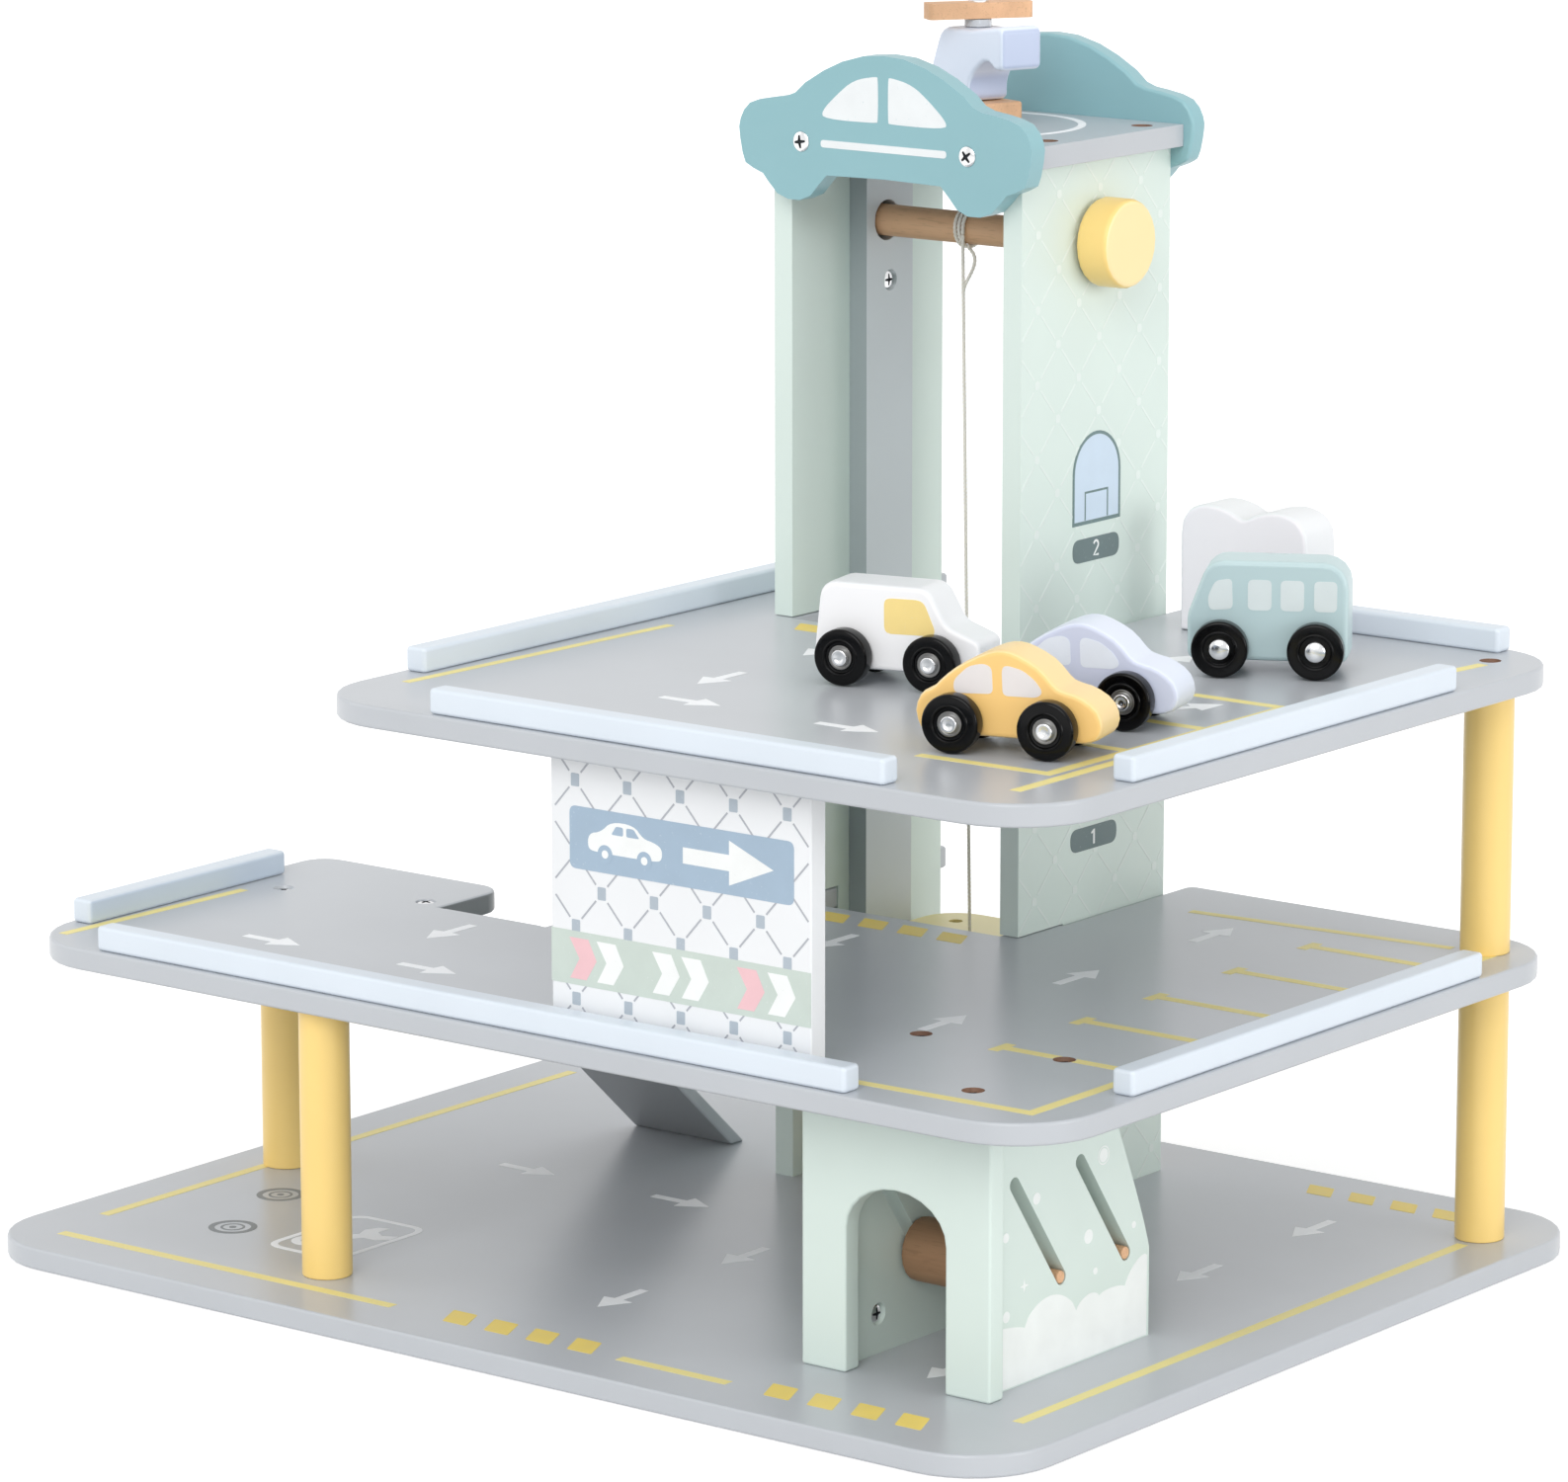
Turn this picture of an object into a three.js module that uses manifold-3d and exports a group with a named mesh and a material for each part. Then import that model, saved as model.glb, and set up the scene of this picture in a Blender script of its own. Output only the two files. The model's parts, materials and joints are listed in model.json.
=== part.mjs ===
import * as THREE from 'three';
import { mergeVertices } from 'three/addons/utils/BufferGeometryUtils.js';
import Module from 'manifold-3d';

// A toy parking garage with a hand-wound lift, in millimetres.
// X runs along the front from left to right, Y to the back, Z up from the floor.
// Places are counted from the front left corner of the base board.

// Boards and storeys
const boardThickness = 9;
const baseWidth = 510;
const baseDepth = 412;
const boardCorner = 36;
const storeyClearHeight = 109;
const levelRightInset = 1;
const levelFront = 28;
const levelBackInset = 20;
const fitGap = 0.3;
const smallCorner = 4;
const middleCorner = 12;

// Level one: shorter at the left back, with a notch for the ramp left of the tower
const levelOneLeftBack = 215;
const rampNotchFront = 172;
const rampToTower = 41;

// Level two starts further right, left of the tower
const levelTwoReach = 44;
const levelTwoBackCorner = 20;

// Lift tower, a little right of the middle of the base
const towerOffset = 6.75;
const towerWidth = 123.5;
const towerBackInset = 39;
const towerDepth = 102;
const towerHeight = 428;
const lapDepth = 31;
const guideReach = 14;
const guideWidth = 31.5;
const roofOverhang = 6.3;

// Car-shaped signs at the front and back of the tower's roof
const signWidth = 145.3;
const signHeight = 61.1;
const signDrop = 28.6;
const signScrewSpacing = 82.6;
const screwHeadRadius = 4;
const screwHeadDepth = 2.4;
const screwShankRadius = 1.7;
const screwLength = 30;

// Board between the levels that carries the large sign
const panelRightInset = 113.6;
const panelWidth = 124.6;
const panelStep = 14;

// Rails: section, step in from the edge of their board, and how far each run stops short of
// the left or front end of that edge and of its right or back end
const railWidth = 10;
const railHeight = 10;
const railInset = 2;
const railCorner = 2;
const lowerLeftRail = [33, 35];
const lowerFrontRail = [44.5, 89];
const lowerRightRail = [62.5, 62.5];
const upperLeftRail = [61, 52];
const upperFrontRail = [64.5, 71.5];
const upperRightRail = [61, 85];
const upperBackRail = [21.5, 30];

// Round columns, each measured in from the two nearest edges of the level it carries
const columnRadius = 10;
const rightColumnInset = [25, 25.5];
const leftFrontColumnInset = [152.6, 16.2];
const leftBackColumnInset = [28.6, 55.9];

// Ramp from level one down to the base
const rampWidth = 53;
const rampSideGap = 1.75;
const rampRun = 132.7;
const rampThickness = 6;

// Car wash
const washRightInset = 46;
const washWidth = 88;
const washFront = 61;
const washArchWidth = 46.4;
const washArchSpring = 56.5;
const washArchRise = 18;
const washWallInset = 6;
const washWallDepth = 102;
const washWallShoulder = 35;
const washWallTopDepth = 70.5;
const washBendBack = 5;
const washBendRise = 18;
const slotWidth = 6;
const slotRun = 51.8;
const slotTilt = THREE.MathUtils.degToRad(54.6);
const slotFootHeight = 36;
const slotSpacing = 42;
const slotForward = 0.6;
const drumRadius = 12.5;
const drumEndGap = 1;
const pinRadius = 2.5;

// Lift cabin
const cabinSideGap = 0.5;
const cabinHeight = 98;
const cabinCorner = 17;
const cabinShift = 0.25;
const postRadius = 6;
const postInset = 15.8;
const cabinHoleRadius = 3;

// Winch
const axleRadius = 6.5;
const axleDrop = 33.5;
const axleShift = 1;
const axleBoreGap = 0.5;
const guideBoreGap = 1.75;
const axleLeftEnd = 2;
const knobRadius = 18;
const knobThickness = 15.5;
const knobEdge = 2.5;
const knobBoreDepth = 11.5;
const knobGap = 1;
const cordRadius = 0.75;
const cordPitch = 2;
const windingTurns = 2.5;
const windingStepsPerTurn = 24;
const windingEndSteps = 2;
const gapPointsPerTurn = 96;
const cordFallSteps = 12;

// Vehicles: wheels, axles and the thickness of the wooden bodies
const vehicleThickness = 22;
const vehicleEdge = 2.2;
const vehicleFloor = 5.7;
const wheelRadius = 11.15;
const wheelThickness = 7;
const wheelGap = 0.7;
const hubRadius = 4;
const hubStand = 1;
const wheelAxleRadius = 2;
const wheelBase = 37.5;

// Each vehicle: height of the body, its reach past the first axle and past the second, the
// place of the first axle in shares of level two's width and depth, and turn in degrees
const carHeight = 33.2;
const carTail = 16.6;
const carNose = 19.9;
const vanHeight = 34;
const vanTail = 15.5;
const vanNose = 19;
const busHeight = 39.5;
const busNose = 13.4;
const busTail = 12.1;
const yellowCarPlaceShares = [0.74164, 0.21841];
const yellowCarTurn = 16;
const lilacCarPlaceShares = [0.71558, 0.38984];
const lilacCarTurn = 16;
const whiteVanPlaceShares = [0.43144, 0.43297];
const whiteVanTurn = 13;
const greenBusPlaceShares = [0.72266, 0.71044];
const greenBusTurn = 28.5;

// Cloud-shaped block, right of the tower
const cloudFromTower = 25.8;
const cloudBackInset = 47.1;
const cloudWidth = 61;
const cloudThickness = 22;
const cloudHeight = 53;
const cloudEdge = 2;

// Helicopter on the tower's roof
const helicopterInset = [63.5, 46.1];
const helicopterTurn = -18;
const skidLength = 38;
const skidWidth = 24;
const skidHeight = 8.7;
const skidRearReach = 7;
const helicopterLength = 51;
const helicopterHeight = 32.2;
const helicopterThickness = 20;
const helicopterEdge = 2;
const helicopterNose = 28.8;
const mastSetback = 8;
const helicopterBackHeight = 29.2;
const spacerRadius = 5.5;
const spacerHeight = 3;
const rotorLength = 44;
const rotorWidth = 10;
const rotorHeight = 6.5;
const rotorTurn = 72.6;
const mastRadius = 1.6;
const mastHoleRadius = 2.1;
const mastDepth = 12;
const mastHeadRadius = 4.2;
const mastHeadHeight = 2.4;

// How finely round shapes are divided
const cornerSteps = 8;
const fewestCornerSteps = 3;
const columnSides = 24;
const holeSides = 20;
const wheelSides = 18;
const cordSides = 6;
const fallSides = 8;
const edgeSteps = 2;
const curveSteps = 2;
const archSteps = 12;

// Half of the sign's outline, from the middle of its lower edge round to the middle of its
// top, in shares of half its width and of its height
const signHalfShares = [
  [0, 0.196], [0.4, 0.185], [0.455, 0.106], [0.51, 0.038], [0.59, 0.005], [0.675, 0.013],
  [0.75, 0.052], [0.81, 0.131], [0.85, 0.175], [0.935, 0.205], [0.966, 0.245], [0.985, 0.33],
  [1, 0.43], [0.998, 0.49], [0.977, 0.548], [0.944, 0.607], [0.88, 0.643], [0.79, 0.667],
  [0.69, 0.683], [0.62, 0.704], [0.557, 0.771], [0.427, 0.864], [0.296, 0.936],
  [0.145, 0.987], [0, 1],
];

// Side outlines, from the front of the underside round over the roof to the tail, in shares
// of each body's length and height
const carOutlineShares = [
  [0.9, 0], [0.972, 0.06], [1, 0.22], [0.965, 0.41], [0.875, 0.54], [0.79, 0.59],
  [0.745, 0.642], [0.665, 0.825], [0.555, 0.955], [0.472, 1], [0.385, 0.965],
  [0.25, 0.815], [0.155, 0.655], [0.095, 0.525], [0.035, 0.45], [0, 0.265], [0.025, 0.06],
  [0.08, 0],
];
const cloudOutlineShares = [
  [1, 0], [1, 0.4], [1, 0.78], [0.965, 0.9], [0.9, 0.965], [0.8, 0.995], [0.7, 0.99],
  [0.61, 0.965], [0.545, 0.93], [0.5, 0.915], [0.455, 0.93], [0.39, 0.965], [0.3, 0.99],
  [0.2, 0.995], [0.1, 0.965], [0.035, 0.9], [0, 0.78], [0, 0.4], [0, 0],
];

// Side outlines as corners: shares of the body's length and height, and a corner radius as
// a share of its length
const vanCornerShares = [
  [1, 0, 0.045], [0.99, 0.42, 0.05], [0.795, 0.575, 0.12], [0.685, 1, 0.1], [0.05, 1, 0.1],
  [0, 0, 0.045],
];
const busCornerShares = [
  [1, 0, 0.05], [1, 1, 0.16], [0.13, 1, 0.14], [0, 0.45, 0.2], [0, 0, 0.05],
];
const helicopterCornerShares = [
  [0.56, 0, 0.05], [0.55, 0.3, 0.21], [0.78, 0.58, 0.12], [0.89, 0.44, 0.05], [1, 0.44, 0.05],
  [1, 1, 0.06], [0.57, 0.907], [0.17, 0.907, 0.16], [0, 0.28, 0.1], [0.06, 0, 0.06],
];

const baseTop = boardThickness;
const levelOneTop = baseTop + storeyClearHeight + boardThickness;
const levelTwoTop = levelOneTop + storeyClearHeight + boardThickness;
const levelRight = baseWidth - levelRightInset;
const levelBack = baseDepth - levelBackInset;
const towerLeft = (baseWidth - towerWidth) / 2 + towerOffset;
const towerRight = towerLeft + towerWidth;
const towerBack = baseDepth - towerBackInset;
const towerFront = towerBack - towerDepth;
const towerMiddle = towerFront + towerDepth / 2;
const towerTop = baseTop + towerHeight;
const roofTop = towerTop + boardThickness;
const shaftLeft = towerLeft + boardThickness;
const shaftRight = towerRight - boardThickness;
const shaftMiddle = (shaftLeft + shaftRight) / 2;
const axleDepth = towerMiddle + axleShift;
const axleHeight = towerTop - axleDrop;
const guideFront = axleDepth - guideReach;
const rampNotchRight = towerLeft - rampToTower;
const rampNotchLeft = rampNotchRight - rampWidth - 2 * rampSideGap;
const levelTwoLeft = towerLeft - levelTwoReach;
const cabinSide = shaftRight - shaftLeft - 2 * (boardThickness + cabinSideGap);
const cabinMiddle = towerMiddle + cabinShift;

const wasm = await Module();
wasm.setup();

const garage = new THREE.Group();
garage.position.set(-baseWidth / 2, -baseDepth / 2, 0);

function paint(colour, roughness = 0.55, metalness = 0) {
  return new THREE.MeshStandardMaterial({ color: colour, roughness, metalness });
}

const greyPaint = paint('#c3c7ca');
const mintPaint = paint('#d8e9e0');
const tealPaint = paint('#8fbcc0');
const bluePaint = paint('#dfe8f2');
const yellowPaint = paint('#f7e3a6');
const whitePaint = paint('#f3f4f5');
const lilacPaint = paint('#ccd6ec');
const carYellowPaint = paint('#f3cd82');
const busPaint = paint('#b3cccf');
const beech = paint('#e3b68a', 0.6);
const cordPaint = paint('#ece5d2', 0.9);
const rubber = paint('#16181a', 0.5);
const steel = paint('#c4c6c8', 0.3, 1);
const spacerPlastic = paint('#b9bcc0', 0.4);

function addPiece(name, geometry, material, parent = garage) {
  const piece = new THREE.Mesh(geometry, material);
  piece.name = name;
  parent.add(piece);
  return piece;
}

// Corners [x, y, radius] become a closed outline whose corners are arcs.
function roundedOutline(corners) {
  const points = [];
  corners.forEach(([x, y, radius = 0], index) => {
    const here = new THREE.Vector2(x, y);
    if (radius === 0) {
      points.push(here);
      return;
    }
    const before = corners.at(index - 1);
    const after = corners[(index + 1) % corners.length];
    const back = new THREE.Vector2(before[0], before[1]).sub(here).normalize();
    const ahead = new THREE.Vector2(after[0], after[1]).sub(here).normalize();
    const half = Math.acos(back.dot(ahead)) / 2;
    const middle = back.clone().add(ahead).normalize();
    const centre = middle.multiplyScalar(radius / Math.sin(half)).add(here);
    const reach = radius / Math.tan(half);
    const start = back.multiplyScalar(reach).add(here).sub(centre);
    const end = ahead.multiplyScalar(reach).add(here).sub(centre);
    const fineness = Math.sqrt(radius / boardCorner);
    const steps = Math.max(fewestCornerSteps, Math.round(cornerSteps * fineness));
    const sweep = Math.atan2(start.cross(end), start.dot(end));
    for (let step = 0; step <= steps; step += 1) {
      const turned = start.clone().rotateAround(new THREE.Vector2(), (sweep * step) / steps);
      points.push(turned.add(centre));
    }
  });
  return new THREE.Shape(points);
}

function extrude(shape, depth, edge = 0) {
  return new THREE.ExtrudeGeometry(shape, {
    depth: depth - 2 * edge,
    bevelEnabled: edge > 0,
    bevelThickness: edge,
    bevelSize: edge,
    bevelOffset: -edge,
    bevelSegments: edgeSteps,
    curveSegments: curveSteps,
    steps: 1,
  }).translate(0, 0, edge);
}

const alongX = new THREE.Vector3(1, 0, 0);
const alongY = new THREE.Vector3(0, 1, 0);
const alongZ = new THREE.Vector3(0, 0, 1);

// An outline in X and Y, lying flat with its underside at the given height
function lyingBoard(shape, underside, thickness = boardThickness) {
  return extrude(shape, thickness).translate(0, 0, underside);
}

// An outline in X and Z, standing across the garage with its front at the given Y
function crossPanel(shape, front, thickness = boardThickness, edge = 0) {
  const stand = new THREE.Matrix4().makeBasis(alongX, alongZ, alongY.clone().negate());
  return extrude(shape, thickness, edge).applyMatrix4(stand).translate(0, front + thickness, 0);
}

// An outline in Y and Z, standing along the depth with its left face at the given X
function sidePanel(shape, left, thickness = boardThickness) {
  const stand = new THREE.Matrix4().makeBasis(alongY, alongZ, alongX);
  return extrude(shape, thickness).applyMatrix4(stand).translate(left, 0, 0);
}

function circleHole(x, y, radius, sides = holeSides) {
  const points = [];
  for (let side = 0; side < sides; side += 1) {
    const angle = (2 * Math.PI * side) / sides;
    points.push(new THREE.Vector2(x + radius * Math.cos(angle), y + radius * Math.sin(angle)));
  }
  return new THREE.Path(points);
}

// A solid of revolution about Z from [radius, height] points that start and end on the axis
function turned(profile, sides = columnSides) {
  const points = profile.map(([radius, height]) => new THREE.Vector2(radius, height));
  return new THREE.LatheGeometry(points, sides).rotateX(Math.PI / 2);
}

function rod(radius, length, sides = columnSides) {
  return turned([[0, 0], [radius, 0], [radius, length], [0, length]], sides);
}

// A turned solid laid along +X, with its start at the given X
function layAlongX(geometry, x, y, z) {
  return geometry.rotateY(Math.PI / 2).translate(x, y, z);
}

// A turned solid laid along +Y
function layAlongY(geometry, x, y, z) {
  return geometry.rotateX(-Math.PI / 2).translate(x, y, z);
}

function toSolid(geometry) {
  const bare = geometry.clone();
  bare.deleteAttribute('normal');
  bare.deleteAttribute('uv');
  const merged = mergeVertices(bare);
  return new wasm.Manifold(new wasm.Mesh({
    numProp: 3,
    vertProperties: merged.attributes.position.array,
    triVerts: new Uint32Array(merged.index.array),
  }));
}

function cutAway(geometry, cutters) {
  const left = cutters.reduce((solid, cutter) => solid.subtract(toSolid(cutter)), toSolid(geometry));
  const mesh = left.getMesh();
  const result = new THREE.BufferGeometry();
  result.setAttribute('position', new THREE.BufferAttribute(mesh.vertProperties, 3));
  result.setIndex(new THREE.BufferAttribute(mesh.triVerts, 1));
  return result;
}

// A smooth closed outline from shares of a length and a height
function smoothOutline(shares, length, height, left = 0, foot = 0) {
  const points = shares.map(([x, y]) => new THREE.Vector2(left + x * length, foot + y * height));
  const shape = new THREE.Shape();
  shape.moveTo(points[0].x, points[0].y);
  shape.splineThru(points.slice(1));
  return shape;
}

// A closed outline of straight edges and round corners, from the same kind of shares
function corneredOutline(shares, length, height, left = 0, foot = 0) {
  return roundedOutline(shares.map(([x, y, round = 0]) => [
    left + x * length,
    foot + y * height,
    round * length,
  ]));
}

// Corners of the cut that a level needs for the lift shaft and the two tower walls
function shaftCut() {
  const lapEnd = towerFront + lapDepth - fitGap;
  return [
    [towerRight + fitGap, levelBack, smallCorner],
    [towerRight + fitGap, lapEnd],
    [shaftRight, lapEnd],
    [shaftRight, towerFront - fitGap],
    [shaftLeft, towerFront - fitGap],
    [shaftLeft, lapEnd],
    [towerLeft - fitGap, lapEnd],
    [towerLeft - fitGap, levelBack, smallCorner],
  ];
}

function makeBoards() {
  const base = roundedOutline([
    [0, 0, boardCorner],
    [baseWidth, 0, boardCorner],
    [baseWidth, baseDepth, boardCorner],
    [0, baseDepth, boardCorner],
  ]);
  addPiece('base_board', lyingBoard(base, 0), greyPaint);

  const levelOne = roundedOutline([
    [0, levelFront, boardCorner],
    [levelRight, levelFront, boardCorner],
    [levelRight, levelBack, boardCorner],
    ...shaftCut(),
    [rampNotchRight, levelBack, middleCorner],
    [rampNotchRight, rampNotchFront],
    [rampNotchLeft, rampNotchFront],
    [rampNotchLeft, levelOneLeftBack, middleCorner],
    [0, levelOneLeftBack, middleCorner],
  ]);
  addPiece('level_one_board', lyingBoard(levelOne, levelOneTop - boardThickness), greyPaint);

  const levelTwo = roundedOutline([
    [levelTwoLeft, levelFront, boardCorner],
    [levelRight, levelFront, boardCorner],
    [levelRight, levelBack, boardCorner],
    ...shaftCut(),
    [levelTwoLeft, levelBack, levelTwoBackCorner],
  ]);
  addPiece('level_two_board', lyingBoard(levelTwo, levelTwoTop - boardThickness), greyPaint);
}

// A tower wall with an axle bore and two slots, open at the front, that hold the levels
function wallOutline() {
  const corners = [
    [towerFront, baseTop],
    [towerBack, baseTop],
    [towerBack, towerTop],
    [towerFront, towerTop],
  ];
  [levelTwoTop, levelOneTop].forEach((top) => {
    const under = top - boardThickness;
    corners.push(
      [towerFront, top + fitGap],
      [towerFront + lapDepth, top + fitGap],
      [towerFront + lapDepth, under - fitGap],
      [towerFront, under - fitGap],
    );
  });
  const wall = roundedOutline(corners);
  wall.holes.push(circleHole(axleDepth, axleHeight, axleRadius + axleBoreGap, columnSides));
  return wall;
}

function makeTower() {
  addPiece('tower_left_wall', sidePanel(wallOutline(), towerLeft), mintPaint);
  addPiece('tower_right_wall', sidePanel(wallOutline(), shaftRight), mintPaint);

  const guide = roundedOutline([
    [guideFront, baseTop],
    [guideFront + guideWidth, baseTop],
    [guideFront + guideWidth, towerTop],
    [guideFront, towerTop],
  ]);
  guide.holes.push(circleHole(axleDepth, axleHeight, axleRadius + guideBoreGap, columnSides));
  addPiece('left_guide', sidePanel(guide, shaftLeft), greyPaint);
  addPiece('right_guide', sidePanel(guide, shaftRight - boardThickness), greyPaint);

  const screws = [-1, 1].map((side) => screwAt(shaftMiddle + (side * signScrewSpacing) / 2));
  const roof = roundedOutline([
    [towerLeft - roofOverhang, towerFront],
    [towerRight + roofOverhang, towerFront],
    [towerRight + roofOverhang, towerBack],
    [towerLeft - roofOverhang, towerBack],
  ]);
  const bores = screws.map((screw) => screw.bore.clone());
  addPiece('roof_board', cutAway(lyingBoard(roof, towerTop), bores), greyPaint);

  const half = signHalfShares.map(([across, up]) => new THREE.Vector2(
    (across * signWidth) / 2,
    roofTop - signDrop + up * signHeight,
  ));
  const rightSide = new THREE.SplineCurve(half).getPoints(half.length);
  const leftSide = rightSide.slice(1, -1).reverse().map((point) => new THREE.Vector2(-point.x, point.y));
  const outline = [...rightSide, ...leftSide].map((point) => point.setX(point.x + shaftMiddle));
  const sign = new THREE.Shape(outline);
  const front = crossPanel(sign, towerFront - boardThickness);
  addPiece('front_sign', cutAway(front, screws.map((screw) => screw.bore)), tealPaint);
  addPiece('back_sign', crossPanel(sign, towerBack), tealPaint);
  addPiece('sign_screw_left', screws[0].screw, steel);
  addPiece('sign_screw_right', screws[1].screw, steel);
}

// A countersunk screw that runs back from the face of the front sign, and the bore it needs
function screwAt(x) {
  const shape = (gap) => turned([
    [0, 0],
    [screwHeadRadius + gap, 0],
    [screwShankRadius + gap, screwHeadDepth],
    [screwShankRadius + gap, screwLength + gap],
    [0, screwLength + gap],
  ], holeSides);
  const face = towerFront - boardThickness;
  const middle = towerTop + boardThickness / 2;
  return {
    screw: layAlongY(shape(0), x, face + fitGap, middle),
    bore: layAlongY(shape(fitGap), x, face, middle),
  };
}

function makePanelAndColumns() {
  const panelLeft = levelRight - panelRightInset - panelWidth;
  const panel = roundedOutline([
    [panelLeft, levelOneTop],
    [panelLeft + panelWidth, levelOneTop],
    [panelLeft + panelWidth, levelTwoTop - boardThickness],
    [panelLeft, levelTwoTop - boardThickness],
  ]);
  addPiece('sign_panel', crossPanel(panel, levelFront + panelStep), whitePaint);

  const rightColumn = [levelRight - rightColumnInset[0], levelBack - rightColumnInset[1]];
  const leftFrontColumn = [leftFrontColumnInset[0], levelFront + leftFrontColumnInset[1]];
  const leftBackColumn = [leftBackColumnInset[0], levelOneLeftBack - leftBackColumnInset[1]];
  const columns = [
    ['right_lower_column', rightColumn, baseTop],
    ['right_upper_column', rightColumn, levelOneTop],
    ['left_front_column', leftFrontColumn, baseTop],
    ['left_back_column', leftBackColumn, baseTop],
  ];
  columns.forEach(([name, [x, y], foot]) => {
    addPiece(name, rod(columnRadius, storeyClearHeight).translate(x, y, foot), yellowPaint);
  });
}

function makeRails() {
  const leftOf = (edge) => [edge + railInset, edge + railInset + railWidth];
  const rightOf = (edge) => [edge - railInset - railWidth, edge - railInset];
  const along = (start, end, [short, shortAtEnd]) => [start + short, end - shortAtEnd];
  const whole = [levelFront, levelBack];
  const rails = [
    ['lower_left_rail', leftOf(0), along(levelFront, levelOneLeftBack, lowerLeftRail), levelOneTop],
    ['lower_front_rail', along(0, levelRight, lowerFrontRail), leftOf(levelFront), levelOneTop],
    ['lower_right_rail', rightOf(levelRight), along(...whole, lowerRightRail), levelOneTop],
    ['upper_left_rail', leftOf(levelTwoLeft), along(...whole, upperLeftRail), levelTwoTop],
    ['upper_front_rail', along(levelTwoLeft, levelRight, upperFrontRail), leftOf(levelFront), levelTwoTop],
    ['upper_right_rail', rightOf(levelRight), along(...whole, upperRightRail), levelTwoTop],
    ['upper_back_rail', along(towerRight, levelRight, upperBackRail), rightOf(levelBack), levelTwoTop],
  ];
  rails.forEach(([name, [left, right], [front, back], foot]) => {
    const plan = roundedOutline([
      [left, front, railCorner],
      [right, front, railCorner],
      [right, back, railCorner],
      [left, back, railCorner],
    ]);
    addPiece(name, lyingBoard(plan, foot, railHeight), bluePaint);
  });
}

function makeRamp() {
  const slope = Math.atan2(storeyClearHeight + boardThickness, rampRun);
  const start = rampNotchFront + fitGap;
  const end = start + rampRun;
  const side = roundedOutline([
    [end - rampThickness / Math.sin(slope), baseTop],
    [end, baseTop],
    [start, levelOneTop],
    [start, levelOneTop - rampThickness / Math.cos(slope)],
  ]);
  const left = (rampNotchLeft + rampNotchRight - rampWidth) / 2;
  addPiece('ramp', sidePanel(side, left, rampWidth), greyPaint);
}

// Centre of a slot's lower end. The pair of slots stands in the middle of the wall, but for
// a small step forward.
function slotFoot(index) {
  const lean = Math.cos(slotTilt) * slotRun;
  const margin = (washWallDepth - slotSpacing - lean - slotWidth) / 2;
  const firstFoot = margin + slotWidth / 2 + lean - slotForward;
  return [washFront + boardThickness + firstFoot + index * slotSpacing, baseTop + slotFootHeight];
}

function slotHole(index) {
  const [depth, height] = slotFoot(index);
  const points = [];
  for (let step = 0; step <= archSteps; step += 1) {
    const angle = Math.PI / 2 - slotTilt - (Math.PI * step) / archSteps;
    points.push([Math.cos(angle), Math.sin(angle)]);
  }
  const rise = [-Math.cos(slotTilt) * slotRun, Math.sin(slotTilt) * slotRun];
  const foot = points.map(([x, y]) => new THREE.Vector2(
    depth + (x * slotWidth) / 2,
    height + (y * slotWidth) / 2,
  ));
  const head = points.map(([x, y]) => new THREE.Vector2(
    depth + rise[0] - (x * slotWidth) / 2,
    height + rise[1] - (y * slotWidth) / 2,
  ));
  return new THREE.Path([...foot, ...head]);
}

function makeCarWash() {
  const ceiling = baseTop + storeyClearHeight;
  const washLeft = baseWidth - washRightInset - washWidth;
  const middle = washLeft + washWidth / 2;
  const arch = new THREE.Shape();
  arch.moveTo(washLeft, baseTop);
  arch.lineTo(washLeft, ceiling);
  arch.lineTo(washLeft + washWidth, ceiling);
  arch.lineTo(washLeft + washWidth, baseTop);
  arch.lineTo(middle + washArchWidth / 2, baseTop);
  for (let step = 0; step <= archSteps; step += 1) {
    const angle = (Math.PI * step) / archSteps;
    arch.lineTo(
      middle + (washArchWidth / 2) * Math.cos(angle),
      baseTop + washArchSpring + washArchRise * Math.sin(angle),
    );
  }
  arch.lineTo(middle - washArchWidth / 2, baseTop);
  addPiece('wash_front_arch', crossPanel(arch, washFront), mintPaint);

  const wallFront = washFront + boardThickness;
  const side = new THREE.Shape();
  side.moveTo(wallFront, baseTop);
  side.lineTo(wallFront + washWallDepth, baseTop);
  side.lineTo(wallFront + washWallDepth, baseTop + washWallShoulder);
  const shoulder = new THREE.Vector2(wallFront + washWallDepth, baseTop + washWallShoulder);
  const bend = new THREE.QuadraticBezierCurve(
    shoulder,
    new THREE.Vector2(shoulder.x - washBendBack, shoulder.y + washBendRise),
    new THREE.Vector2(wallFront + washWallTopDepth, ceiling),
  );
  bend.getPoints(archSteps).slice(1).forEach((point) => side.lineTo(point.x, point.y));
  side.lineTo(wallFront, ceiling);
  side.holes.push(slotHole(0), slotHole(1));
  const leftFace = washLeft + washWallInset;
  const rightFace = washLeft + washWidth - washWallInset - boardThickness;
  addPiece('wash_left_wall', sidePanel(side, leftFace), mintPaint);
  addPiece('wash_right_wall', sidePanel(side, rightFace), mintPaint);

  const inside = leftFace + boardThickness;
  const clearWidth = rightFace - inside;
  ['front', 'back'].forEach((place, index) => {
    const [depth, height] = slotFoot(index);
    const pinLength = clearWidth + 2 * boardThickness;
    addPiece(
      `${place}_roller_pin`,
      layAlongX(rod(pinRadius, pinLength, holeSides), leftFace, depth, height),
      beech,
    );
    const length = clearWidth - 2 * drumEndGap;
    const drum = turned([
      [pinRadius + fitGap, 0],
      [drumRadius, 0],
      [drumRadius, length],
      [pinRadius + fitGap, length],
      [pinRadius + fitGap, 0],
    ], holeSides);
    addPiece(`${place}_roller`, layAlongX(drum, inside + drumEndGap, depth, height), beech);
  });
}

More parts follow.
